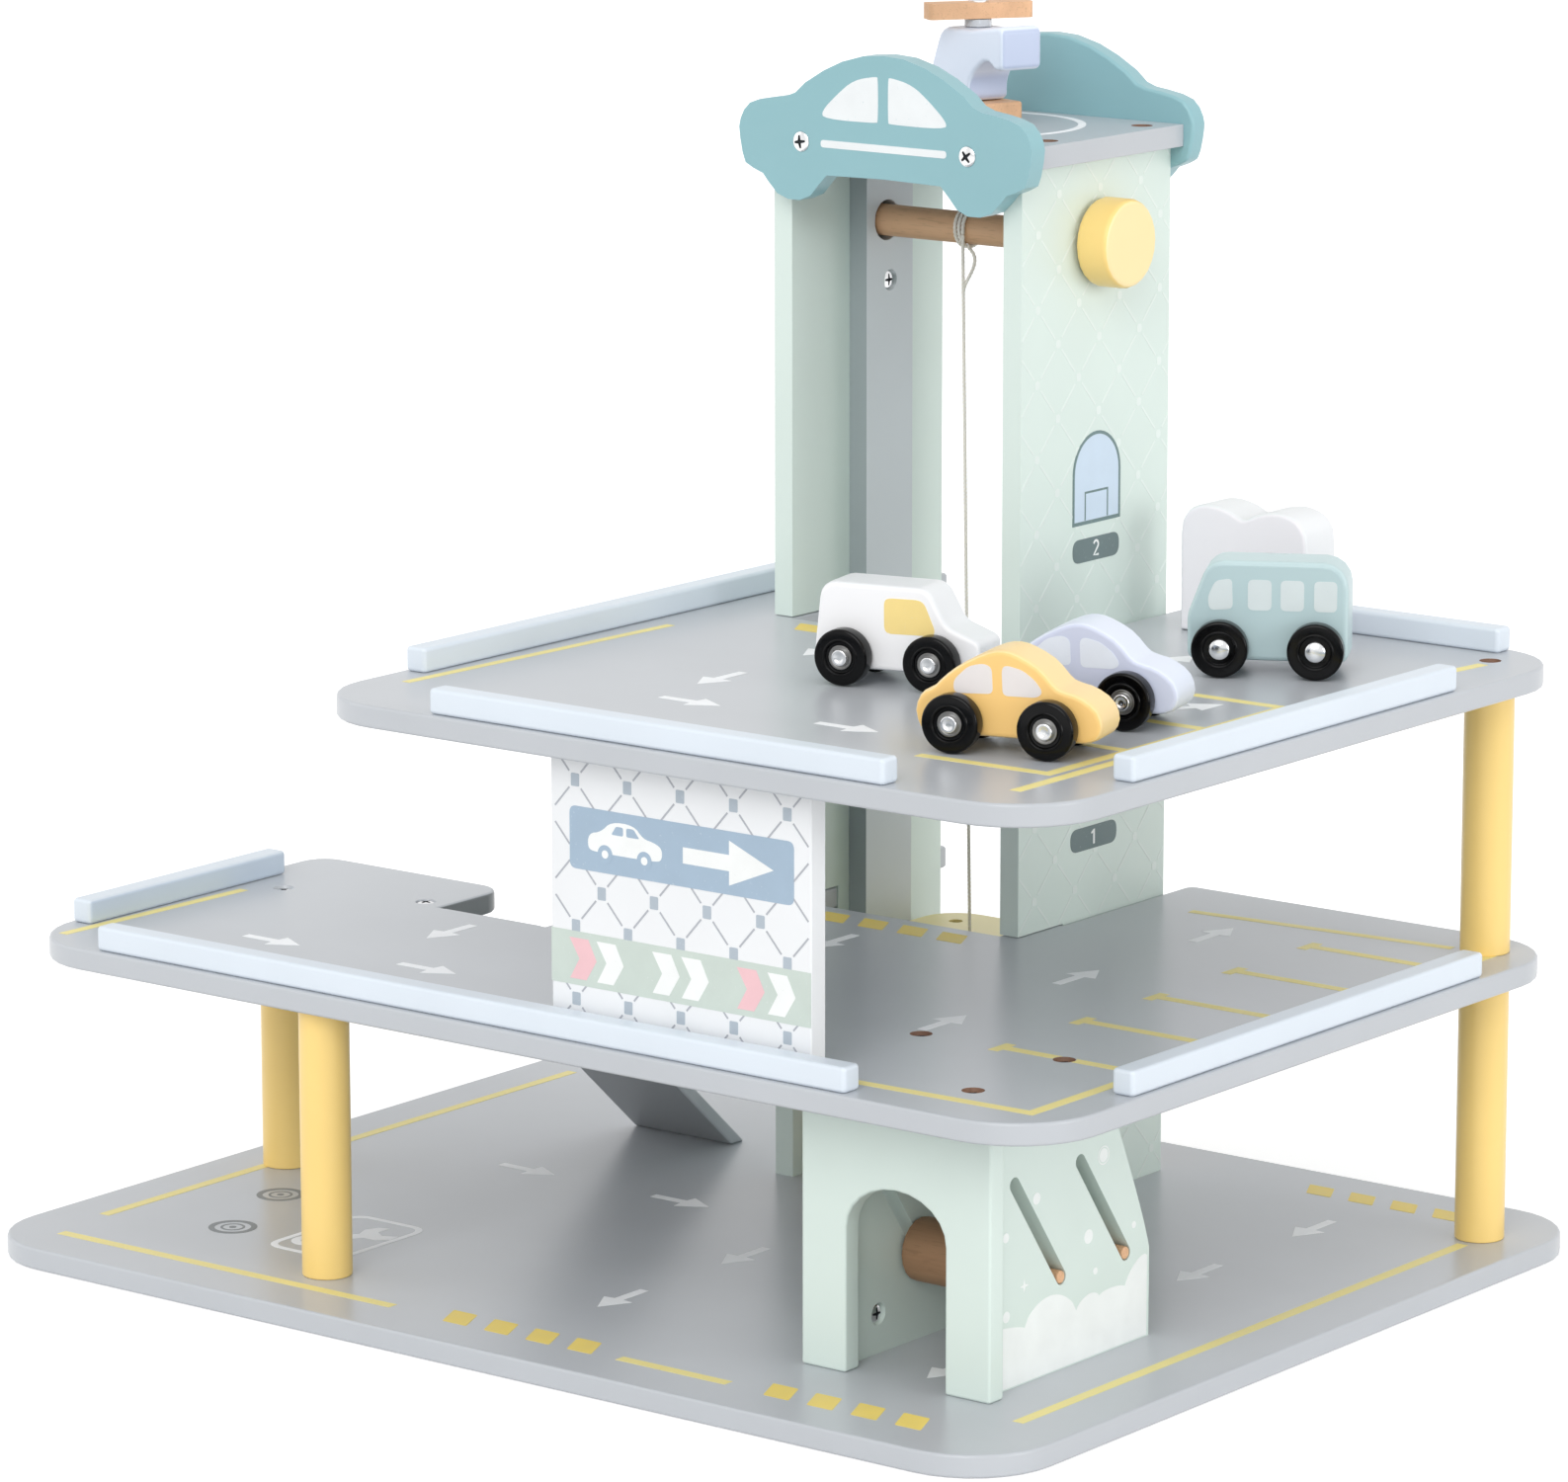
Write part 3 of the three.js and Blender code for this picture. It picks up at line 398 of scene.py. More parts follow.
finishes = {
    "board": paintedWood("greyBoardPaint", "board", rough=boardRough),
    # painted shade: the level board's faces turned right near the ramp notch are darker
    "levelOne": paintedWood("greyLevelPaint", "board", rough=boardRough, other=(
        "notch", inPiece("level_one_board", rightward), False,
        tuple(nodes["level_one_board"].matrix_world.inverted() @ at(*notch["place"])), notch["reach"] * mm,
    )),
    # painted light and shade: the guide's grey is lighter than the boards' as painted light in the shaft, and
    # its front edge is darker as painted shade
    "guide": paintedWood("greyGuidePaint", "guide", other=("guideEdge", (0, -1, 0), False)),
    # painted shade: the ramp's faces turned down and forward are darker
    "ramp": paintedWood("greyRampPaint", "board", other=("rampUnder", (0, -0.65, -0.75), False)),
    "mint": paintedWood("mintWallPaint", "mint"),
    "teal": paintedWood("tealSignPaint", "teal"),
    "white": paintedWood("whiteBlockPaint", "white"),
    # painted light and shade: the cloud's broad faces are lighter and its rim darker
    "cloud": paintedWood("whiteCloudPaint", "cloud", other=("cloudFaceLit", (0, 1, 0), True)),
    # painted light: the van's sides are lighter than its top and ends
    "van": paintedWood("whiteVanPaint", "white", other=("van", sideways["white_van"], True)),
    "rail": paintedWood("blueRailPaint", "rail"),
    # painted shade: the left rail's face turned right is darker and bluer
    "leftRail": paintedWood("blueLeftRailPaint", "rail", other=(
        "railSide", inPiece("lower_left_rail", rightward), False,
    )),
    "yellow": paintedWood("yellowColumnPaint", "yellow"),
    # painted light: the knob's faces turned along its own X axis are lighter
    "knob": paintedWood("yellowKnobPaint", "yellow", other=("knobFaceLit", (1, 0, 0), False)),
    "cabin": paintedWood("yellowCabinPaint", "cabin"),
    # painted light and shade: the rims of each car and the bus are lighter and their sides darker
    "yellowCar": paintedWood("yellowCarPaint", "carRim", other=("carSide", sideways["yellow_car"], True)),
    "lilacCar": paintedWood("lilacCarPaint", "lilacRim", other=("lilacSide", sideways["lilac_car"], True)),
    "bus": paintedWood("busPaint", "busRim", other=("busSide", sideways["green_bus"], True)),
    # painted shade: the body's faces turned one way along it are darker
    "helicopter": paintedWood("helicopterPaint", "helicopter", other=(
        "helicopterEnd", sideways["helicopter"], False,
    )),
    "beechX": beechWood("beechAlongWidth", "beech"),
    "beechZ": beechWood("beechUpright", "beech", "z"),
    # painted shade: the axle's beech is darkened for the sign's shadow
    "axle": beechWood("shadedBeechAxle", "axle"),
    # a darker beech, darkened further as painted shade under the wash arch
    "drum": beechWood("beechRoller", "beechDarkShaded"),
    "fibre": beechWood("bareFibre", "fibre", "z", flecks=(900, 900, 900)),
    "tyre": mouldedPlastic("tyreBlack", "tyre"),
    "spacer": mouldedPlastic("spacerGrey", "spacer"),
    "steel": platedSteel("platedSteel", "steel"),
    # painted shade: the cross recesses of the screws are dark steel
    "recess": platedSteel("recessShadeSteel", "recess", (0.55, 0.7)),
    # painted reflection: the wheel flanges are darker steel, for the dark surroundings they reflect
    "flange": platedSteel("flangeSteel", "flange", (0.25, 0.4)),
    "cotton": cottonYarn("cottonYarn", "cotton"),
}
for ground, inks in inkGrounds.items():
    finishes.update((ink, printedInk(ink, ground)) for ink in inks)
print("materials made:", len(finishes))


# smooth round faces and crisp edges, by modifiers alone

edges = {"weld": 0.01, "flat": 0.5, "segments": 3, "corner": 40, "round": 52}


def startGroup(name):
    group = bpy.data.node_groups.new(name, "GeometryNodeTree")
    for way in ("INPUT", "OUTPUT"):
        group.interface.new_socket("Geometry", in_out=way, socket_type="NodeSocketGeometry")
    return group, group.nodes.new("NodeGroupInput"), group.nodes.new("NodeGroupOutput")


def makeRoundShading():
    group, start, end = startGroup("roundShading")
    faces = addNode(group, "GeometryNodeSetShadeSmooth", {"Geometry": start.outputs[0], "Shade Smooth": True},
                    domain="FACE")
    angle = addNode(group, "GeometryNodeInputMeshEdgeAngle").outputs["Unsigned Angle"]
    steep = addNode(group, "FunctionNodeCompare", data_type="FLOAT", operation="GREATER_THAN")
    group.links.new(angle, steep.inputs[0])
    steep.inputs[1].default_value = math.radians(edges["round"])
    sharp = addNode(group, "GeometryNodeSetShadeSmooth", {
        "Geometry": faces.outputs[0], "Selection": steep.outputs[0], "Shade Smooth": False,
    }, domain="EDGE")
    group.links.new(sharp.outputs[0], end.inputs[0])
    return group


roundShading = makeRoundShading()

bore = {"radius": 4.4, "foot": 3.7, "depth": 2.0, "over": 0.5, "head": 3.65, "headHeight": 0.9, "sides": 32}
screwBores = {  # countersinks: place, outward direction, lining, how deep the screw's head sits
    "level_one_board": [
        ((28.6, 159.6, 127), upward, "board", 1.6), ((91.9, 176.1, 127), upward, "board", 0.9),
        ((387, 121.2, 127), upward, "fibre", 1.95), ((453.5, 121.8, 127), upward, "fibre", 1.95),
        ((453.7, 64, 127), upward, "fibre", 1.95),
    ],
    "level_two_board": [((484, 366.5, 245), upward, "fibre", 1.95)],
    "roof_board": [((319, 294, 446), upward, "fibre", 1.95), ((319, 359, 446), upward, "fibre", 1.95)],
    "left_guide": [((218, 325, 378.6), rightward, "guide", 1.5)],
    "wash_left_wall": [((391, 89.3, 24.5), rightward, "mint", 1.5)],
}


def sunk(place, outward, depth):  # a frame below a face, its Z axis pointing out
    turn = outward.to_track_quat("Z", "Y").to_matrix().to_4x4()
    return Matrix.Translation(at(*place) - outward * depth * mm) @ turn


def boreGroup(name):
    group, start, end = startGroup(name + "Bores")
    joined = group.nodes.new("GeometryNodeJoinGeometry")
    slope = (bore["radius"] - bore["foot"]) / bore["depth"]
    for place, outward, lining, _ in screwBores[name]:
        local = nodes[name].matrix_world.inverted() @ sunk(place, outward, bore["depth"])
        cone = addNode(group, "GeometryNodeMeshCone", {
            "Vertices": bore["sides"],
            "Radius Top": (bore["radius"] + bore["over"] * slope) * mm,
            "Radius Bottom": bore["foot"] * mm,
            "Depth": (bore["depth"] + bore["over"]) * mm,
        })
        bare = addNode(group, "GeometryNodeSetMaterial", {
            "Geometry": cone.outputs["Mesh"], "Material": finishes[lining],
        })
        moved = addNode(group, "GeometryNodeTransform", {
            "Geometry": bare.outputs[0], "Translation": local.translation, "Rotation": local.to_euler(),
        })
        group.links.new(moved.outputs[0], joined.inputs[0])
    cut = addNode(group, "GeometryNodeMeshBoolean", operation="DIFFERENCE", solver="EXACT")
    group.links.new(start.outputs[0], cut.inputs["Mesh 1"])
    group.links.new(joined.outputs[0], cut.inputs["Mesh 2"])
    group.links.new(cut.outputs["Mesh"], end.inputs[0])
    return group


def soften(piece, edge):
    piece.modifiers.new("weld", "WELD").merge_threshold = edges["weld"] * mm
    flat = piece.modifiers.new("flatFaces", "DECIMATE")
    flat.decimate_type = "DISSOLVE"
    flat.angle_limit = math.radians(edges["flat"])
    if edge:
        bevel = piece.modifiers.new("softEdge", "BEVEL")
        bevel.width = edge * mm
        bevel.segments = edges["segments"]
        bevel.limit_method = "ANGLE"
        bevel.angle_limit = math.radians(edges["corner"])
    if piece.name in screwBores:
        piece.modifiers.new("screwBores", "NODES").node_group = boreGroup(piece.name)
    piece.modifiers.new("roundShading", "NODES").node_group = roundShading
    piece.modifiers.new("evenNormals", "WEIGHTED_NORMAL").keep_sharp = True


def dress(finish, edge, *names):  # edge is the width of the softened corners
    for name in names:
        piece = nodes[name]
        piece.data.materials.clear()
        piece.data.materials.append(finishes[finish])
        soften(piece, edge)


dress("board", 1.3, "base_board", "level_two_board", "roof_board")
dress("levelOne", 1.3, "level_one_board")
dress("ramp", 1.3, "ramp")
dress("guide", 0.8, "left_guide", "right_guide")
dress("mint", 1.2, "tower_left_wall", "tower_right_wall")
dress("mint", 1.2, "wash_front_arch", "wash_left_wall", "wash_right_wall")
dress("teal", 1.4, "front_sign", "back_sign")
dress("white", 0.8, "sign_panel")
dress("rail", 1.6, *(name for name in nodes if name.endswith("_rail") and name != "lower_left_rail"))
dress("leftRail", 1.6, "lower_left_rail")
dress("yellow", 0.6, *(name for name in nodes if name.endswith("_column")))
dress("knob", 0.5, "winch_knob")
dress("cabin", 1.2, "lift_floor", "lift_roof")
dress("beechZ", 0.4, *(name for name in nodes if name.startswith("lift_post")))
dress("axle", 0.5, "winch_axle")
dress("beechX", 0.5, "front_roller_pin", "back_roller_pin")
dress("drum", 1.0, "front_roller", "back_roller")
dress("beechX", 1.2, "helicopter_skid", "helicopter_rotor")
dress("helicopter", 0.5, "helicopter_body")
dress("lilacCar", 0.5, "lilac_car_body")
dress("yellowCar", 0.5, "yellow_car_body")
dress("van", 0.5, "white_van_body")
dress("bus", 0, "green_bus_body")  # its rims are round already
dress("cloud", 0.5, "cloud_block")
dress("spacer", 0.2, "rotor_spacer")
print("solids finished")


# pieces made here


def newPiece(name, work, body, looks, smoothAngle=40):
    bmesh.ops.recalc_face_normals(work, faces=work.faces)
    mesh = bpy.data.meshes.new(name)
    work.to_mesh(mesh)
    work.free()
    mesh.shade_smooth()
    mesh.set_sharp_from_angle(angle=math.radians(smoothAngle))
    for look in looks:
        mesh.materials.append(finishes[look])
    piece = placed(name, mesh)
    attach(piece, body)
    return piece


def joinRings(work, first, second, look=0):
    # the faces between two rings of corners, either of which may be a single point
    sides = max(len(first), len(second))
    for side in range(sides):
        after = (side + 1) % sides
        corners = []
        for ring, step in ((first, side), (first, after), (second, after), (second, side)):
            corner = ring[step % len(ring)]
            if corner not in corners:
                corners.append(corner)
        if len(corners) > 2:
            work.faces.new(corners).material_index = look


def arc(centre, radius, start, end, steps, rise=None):  # rise is an ellipse's other radius
    angles = [math.radians(start + (end - start) * step / steps) for step in range(steps + 1)]
    rise = radius if rise is None else rise
    return [(centre[0] + radius * math.cos(angle), centre[1] + rise * math.sin(angle)) for angle in angles]


def disc(x, y, radius, steps=40):
    return arc((x, y), radius, 0, 360, steps)[:-1]


def turned(shape, degrees, x=0.0, y=0.0):
    cosine, sine = math.cos(math.radians(degrees)), math.sin(math.radians(degrees))
    return [(x + a * cosine - b * sine, y + a * sine + b * cosine) for a, b in shape]


def lathe(work, profile, place, sides=64, look=0):
    # turns a closed [radius, height] profile, in millimetres, about the Z axis of place
    rings = []
    for radius, height in profile:
        around = disc(0, 0, radius, sides) if radius else [(0, 0)]
        rings.append([work.verts.new(place @ (Vector((x, y, height)) * mm)) for x, y in around])
    if len(rings[0]) > 1 and len(rings[-1]) > 1:
        rings.append(rings[0])
    for first, second in zip(rings, rings[1:]):
        joinRings(work, first, second, look)


# wheels, two on each steel axle

wheel = {
    "inner": 11.7, "outer": 18.7, "radius": 11.15, "shoulder": 1.1, "ringRadius": 6.9, "recess": 1.0,
    "recessRadius": 5.9, "axle": 1.9, "axleEnd": 17.5, "capRadius": 4.9, "capEnd": 19.65, "domeRadius": 4.3,
    "bossRadius": 3.25,
}


def tyreProfile():
    w = wheel
    shoulder = w["shoulder"]
    floor = w["outer"] - w["recess"]
    return [
        (w["axle"], w["inner"]),
        *arc((w["radius"] - shoulder, w["inner"] + shoulder), shoulder, -90, 0, 5),
        *arc((w["radius"] - shoulder, w["outer"] - shoulder), shoulder, 0, 90, 5),
        (w["ringRadius"] + 0.45, w["outer"]),
        *arc((w["ringRadius"], w["outer"] - 0.1), 0.42, 40, 150, 4),
        (w["ringRadius"] - 0.75, w["outer"] - 0.45),
        *arc((w["recessRadius"], floor + 0.3), 0.3, 0, -90, 3),
        (w["axle"], floor),
    ]


def capProfile(domed):
    w = wheel
    floor = w["outer"] - w["recess"]
    if domed:
        radius, foot = w["domeRadius"], floor + 0.3
        dome = arc((0, foot), radius, 0, 81, 9, w["capEnd"] - foot)
        return [(0, floor - 0.2), (radius, floor - 0.2), *dome, (0, w["capEnd"])]
    boss, end = w["bossRadius"], w["capEnd"]
    return [
        (0, floor), (boss, floor), *arc((boss - 0.5, end - 0.5), 0.5, 0, 90, 5),
        (1.9, end - 0.05), (1.55, end - 0.3), (0.9, end - 0.42), (0, end - 0.45),
    ]


def flangeProfile():
    floor, edge = wheel["outer"] - wheel["recess"], wheel["capRadius"]
    return [
        (0, floor - 0.2), (edge, floor - 0.2), (edge, floor + 0.4),
        *arc((edge - 0.35, floor + 0.4), 0.35, 0, 90, 3),
        (wheel["bossRadius"] + 0.5, floor + 0.55), (wheel["bossRadius"], floor + 0.3), (0, floor + 0.3),
    ]


def pieceName(node):
    first, *others = node.split("_")
    return first + "".join(word.capitalize() for word in others)


def makeWheels(vehicle, end, facing):
    node = f"{vehicle}_{end}_wheels"
    centre = Matrix.Translation(middleOf(node)) @ Matrix.Rotation(facing, 4, "Z")
    work = bmesh.new()
    domed = vehicle == "green_bus"
    for side in (1, -1):
        place = centre @ turnBy(-90 * side, "X")
        lathe(work, tyreProfile(), place, look=0)
        lathe(work, capProfile(domed), place, 48, look=1)
        if not domed:
            lathe(work, flangeProfile(), place, 48, look=2)
    rod = [(0, -wheel["axleEnd"]), (wheel["axle"], -wheel["axleEnd"])]
    rod += [(radius, -height) for radius, height in reversed(rod)]
    lathe(work, rod, centre @ turnBy(90, "X"), 24, look=1)
    # the flanges take the darker steel of a painted reflection
    looks = ("tyre", "steel", "flange")
    piece = newPiece(pieceName(node), work, f"{vehicle}_{end}_axle", looks)
    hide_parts(node)


for vehicle in vehicleNames:
    for end in vehicleEnds[vehicle]:
        makeWheels(vehicle, end, vehicleTurns[vehicle])
print("wheels made")


# screws with a cross recess

screwHead = {
    "rings": (0.72, 0.86, 0.95, 1.0), "sides": 48, "dome": 0.9, "rim": 0.1, "cross": 0.66,
    "arm": 0.15, "tip": 0.7, "root": 1.15, "floor": 0.8,
}
screwShank = {"radius": 1.6, "tip": 0.4, "top": 0.1}


def crossHead(work, place, radius, height, recess=0.8):
    # a domed head on the XY plane of place, with a cross recess; look 0 is the head, look 1 the recess, whose
    # dark steel is painted shade
    def lifted(points, drop=0.0):
        corners = []
        for x, y in points:
            rest = 1 - (x * x + y * y) / radius ** 2 * screwHead["dome"]
            rise = height * math.sqrt(max(screwHead["rim"], rest)) - drop
            corners.append(work.verts.new(place @ (Vector((x, y, rise)) * mm)))
        return corners

    long, wide = radius * screwHead["cross"], radius * screwHead["arm"]
    tip, root = wide * screwHead["tip"], wide * screwHead["root"]
    quarter = [(long, -tip), (long, tip), (root, root)]
    star = [point for turn in range(4) for point in turned(quarter, 90 * turn)]
    rings = [disc(0, 0, radius * share, screwHead["sides"]) for share in screwHead["rings"]]
    inner, slot = lifted(rings[0]), lifted(star)
    flat = [[Vector((x, y, 0)) for x, y in loop] for loop in (rings[0], star)]
    corners = inner + slot
    for face in geometry.tessellate_polygon(flat):
        work.faces.new([corners[corner] for corner in face])
    for ring in rings[1:]:
        outer = lifted(ring)
        joinRings(work, inner, outer)
        inner = outer
    foot = [work.verts.new(place @ (Vector((x, y, 0)) * mm)) for x, y in rings[-1]]
    joinRings(work, inner, foot)
    work.faces.new(foot)
    floor = lifted([(x * screwHead["floor"], y * screwHead["floor"]) for x, y in star], recess * height)
    joinRings(work, slot, floor, 1)
    for face in geometry.tessellate_polygon([[Vector((x, y, 0)) for x, y in star]]):
        work.faces.new([floor[corner] for corner in face]).material_index = 1


def makeLongScrew(node, place, body, screw, depth):
    work = bmesh.new()
    crossHead(work, place, screw["radius"], screw["height"], recess=screw["recess"])
    radius, tip, top = screwShank["radius"], screwShank["tip"], screwShank["top"]
    shank = [(0, -depth), (tip, -depth), (radius, screw["taper"] - depth), (radius, top), (0, top)]
    lathe(work, shank, place, 24)
    piece = newPiece(pieceName(node), work, body, ("steel", "recess"), 30)
    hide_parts(node)


signScrew = {"radius": 4.0, "height": 1.4, "recess": 0.5, "sink": 0.4, "taper": 3, "depth": 26}


def makeSignScrews():
    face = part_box("front_sign")[0].y + signScrew["sink"] * mm
    for side, cross in (("left", 8), ("right", 38)):  # how far each head is turned
        node = f"sign_screw_{side}"
        middle = middleOf(node)
        place = Matrix.Translation((middle.x, face, middle.z)) @ turnBy(90, "X") @ turnBy(cross, "Z")
        makeLongScrew(node, place, "garage_frame", signScrew, signScrew["depth"])


makeSignScrews()

rotorScrew = {"radius": 4.2, "height": 2.2, "recess": 0.8, "taper": 2}


def makeRotorScrew():
    middle = middleOf("rotor_screw")
    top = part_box("helicopter_rotor")[1].z
    place = Matrix.Translation((middle.x, middle.y, top))
    makeLongScrew("rotor_screw", place, "helicopter", rotorScrew, (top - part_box("rotor_screw")[0].z) / mm)


makeRotorScrew()


def makeBoardScrews():
    work = bmesh.new()
    for places in screwBores.values():
        for place, outward, _, depth in places:
            crossHead(work, sunk(place, outward, depth), bore["head"], bore["headHeight"])
    newPiece("boardScrews", work, "garage_frame", ("steel", "recess"), 30)


makeBoardScrews()
print("screws made")


# prints: closed films of ink on the painted faces, drawn in millimetres along each face

inkFilm = {"over": 0.1, "under": 0.02}


def faceOn(origin, across, up):
    across, up = Vector(across), Vector(up)
    turn = Matrix((across, up, across.cross(up))).transposed().to_4x4()
    return Matrix.Translation(origin) @ turn


def faceOf(node, side):  # a piece's top, front or right face, measured from the base's corner
    low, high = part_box(node)
    if side == "top":
        return faceOn((baseCorner.x, baseCorner.y, high.z), (1, 0, 0), (0, 1, 0))
    if side == "front":
        return faceOn((baseCorner.x, low.y, 0), (1, 0, 0), (0, 0, 1))
    return faceOn((high.x, baseCorner.y, 0), (0, 1, 0), (0, 0, 1))


def film(work, place, shape, look, lift):
    loops = shape if isinstance(shape[0][0], (tuple, list)) else [shape]
    flat = [[Vector((x, y, 0)) for x, y in loop] for loop in loops]
    over, under = Vector((0, 0, inkFilm["over"] + lift)), Vector((0, 0, inkFilm["under"]))
    fronts, backs = [], []
    for loop in flat:
        for point in loop:
            fronts.append(work.verts.new(place @ ((point + over) * mm)))
            backs.append(work.verts.new(place @ ((point - under) * mm)))
    for corners in geometry.tessellate_polygon(flat):
        work.faces.new([fronts[corner] for corner in corners]).material_index = look
        work.faces.new([backs[corner] for corner in reversed(corners)]).material_index = look
    start = 0
    for loop in flat:
        for step in range(len(loop)):
            here, after = start + step, start + (step + 1) % len(loop)
            side = (fronts[here], fronts[after], backs[after], backs[here])
            work.faces.new(side).material_index = look
        start += len(loop)


def makePrints(name, body, layers):
    # layers: place of the face, ink, lift above the first film, shapes
    work = bmesh.new()
    looks = []
    for place, ink, lift, shapes in layers:
        if ink not in looks:
            looks.append(ink)
        for shape in shapes:
            film(work, place, shape, looks.index(ink), lift)
    newPiece(name, work, body, looks)


def bar(x0, y0, x1, y1, width=5.0):
    along = Vector((x1 - x0, y1 - y0)).normalized()
    side = Vector((-along.y, along.x)) * width / 2
    start, end = Vector((x0, y0)), Vector((x1, y1))
    return [tuple(start + side), tuple(start - side), tuple(end - side), tuple(end + side)]


def ring(x, y, outer, inner, steps=64):
    return [disc(x, y, outer, steps), disc(x, y, inner, steps)]


def rounded(points, radius, steps=6):
    corners = []
    for index, point in enumerate(points):
        here = Vector(point)
        back, ahead = Vector(points[index - 1]) - here, Vector(points[(index + 1) % len(points)]) - here
        first = here + back.normalized() * min(radius, back.length / 2)
        last = here + ahead.normalized() * min(radius, ahead.length / 2)
        for step in range(steps + 1):
            share = step / steps
            corners.append(tuple(first.lerp(here, share).lerp(here.lerp(last, share), share)))
    return corners


def box(x0, y0, x1, y1, radius=0.0):
    points = [(x0, y0), (x1, y0), (x1, y1), (x0, y1)]
    return rounded(points, radius) if radius else points


def stroke(points, width):
    points = [Vector(point) for point in points]
    left, right = [], []
    for index, point in enumerate(points):
        before, after = points[max(index - 1, 0)], points[min(index + 1, len(points) - 1)]
        along = (after - before).normalized()
        side = Vector((-along.y, along.x)) * width / 2
        left.append(tuple(point + side))
        right.append(tuple(point - side))
    return left + right[::-1]


arrow = {"tip": 14.5, "barb": 2.0, "reach": 7.0, "shaft": 2.1}


def arrows(*spots):  # x, y, and the angle that each arrow is turned by
    a = arrow
    half = [(-a["tip"], -a["shaft"]), (a["barb"] - 0.6, -a["shaft"]), (a["barb"], -a["reach"])]
    shape = half + [(a["tip"], 0)] + [(across, -up) for across, up in reversed(half)]
    return [turned(shape, degrees, x, y) for x, y, degrees in spots]


dash = {"width": 12.0, "depth": 14.0, "lean": 3.0, "round": 1.0, "count": 4}


def dashes(x, y, gap, width=dash["width"], depth=dash["depth"]):
    shapes = []
    for step in range(dash["count"]):
        middle = x + gap * step
        front, back = middle + dash["lean"], middle - dash["lean"]
        corners = [
            (front - width / 2, y - depth / 2), (front + width / 2, y - depth / 2),
            (back + width / 2, y + depth / 2), (back - width / 2, y + depth / 2),
        ]
        shapes.append(rounded(corners, dash["round"], 3))
    return shapes


def clipped(start, end, area):
    # part of a segment inside area, or nothing
    low, high = 0.0, 1.0
    for axis in (0, 1):
        step = end[axis] - start[axis]
        for edge, sign in ((area[axis], -1), (area[axis + 2], 1)):
            reach = sign * (edge - start[axis])
            if step * sign > 0:
                high = min(high, reach / (step * sign))
            elif step * sign < 0:
                low = max(low, reach / (step * sign))
            elif reach < 0:
                return None
    if high - low < 0.05:
        return None
    first, last = Vector(start), Vector(end)
    return first.lerp(last, low), first.lerp(last, high)


latticeReach = (20, 40)  # columns and rows each way


def lattice(corner, step, area, dot, width, gap):
    # dots on a diamond grid with thin lines between neighbours
    dots, lines = [], []
    wide, tall = dot[0] / 2, dot[1] / 2
    for row in range(-latticeReach[1], latticeReach[1] + 1):
        for column in range(-latticeReach[0], latticeReach[0] + 1):
            x = corner[0] + (column + (row % 2) / 2) * step[0]
            y = corner[1] + row * step[1]
            if area[0] + wide < x < area[2] - wide and area[1] + tall < y < area[3] - tall:
                dots.append(box(x - wide, y - tall, x + wide, y + tall, dot[2]))
            for side in (-1, 1):
                start, end = Vector((x, y)), Vector((x + side * step[0] / 2, y + step[1]))
                along = (end - start).normalized() * gap
                part = clipped(start + along, end - along, area)
                if part:
                    lines.append(bar(*part[0], *part[1], width))
    return dots, lines


def spanner(x, y, degrees, size):
    half = [(-6.04, -2), (4, -2), (6.5, -5.5), (10.5, -6.2), (13, -4.2), (9.2, -2)]
    jaw = half + [(along, -up) for along, up in reversed(half)]
    eye = arc((-10.4, 0), 4.8, 30, 330, 20)
    loops = [[(a * size, b * size) for a, b in loop] for loop in (jaw + eye, disc(-10.4, 0, 2.3, 20))]
    return [turned(loop, degrees, x, y) for loop in loops]


def bars(*ends):  # each one's ends, and its width where it isn't the usual one
    return [bar(*end) for end in ends]


def boardPrints(name, board, **layers):  # each ink's shapes on top of a board
    top = faceOf(board, "top")
    makePrints(name, "garage_frame", [(top, ink, 0, shapes) for ink, shapes in layers.items()])


bay = {"x": (421.6, 426.2, 478), "half": (6, 2.5), "places": (175, 224, 278, 331), "cut": 122.7, "gap": 4.7}


def bayLines():  # strokes with a wider left end, one of them cut by a screw bore
    (left, stem, right), (wide, thin) = bay["x"], bay["half"]

    def bayLine(y, tail):
        foot = [(left, y - wide), (stem, y - wide), (stem, y - thin)]
        return foot + tail + [(x, 2 * y - up) for x, up in reversed(foot)]

    lines = [bayLine(y, [(right, y - thin), (right, y + thin)]) for y in bay["places"]]
    hole = screwBores["level_one_board"][3][0]
    lines.append(bayLine(bay["cut"], arc(hole, bay["gap"], 200, 134, 8)))
    lines.append([*arc(hole, bay["gap"], 46, -20, 8), (right, bay["cut"] - thin), (right, bay["cut"] + thin)])
    return lines


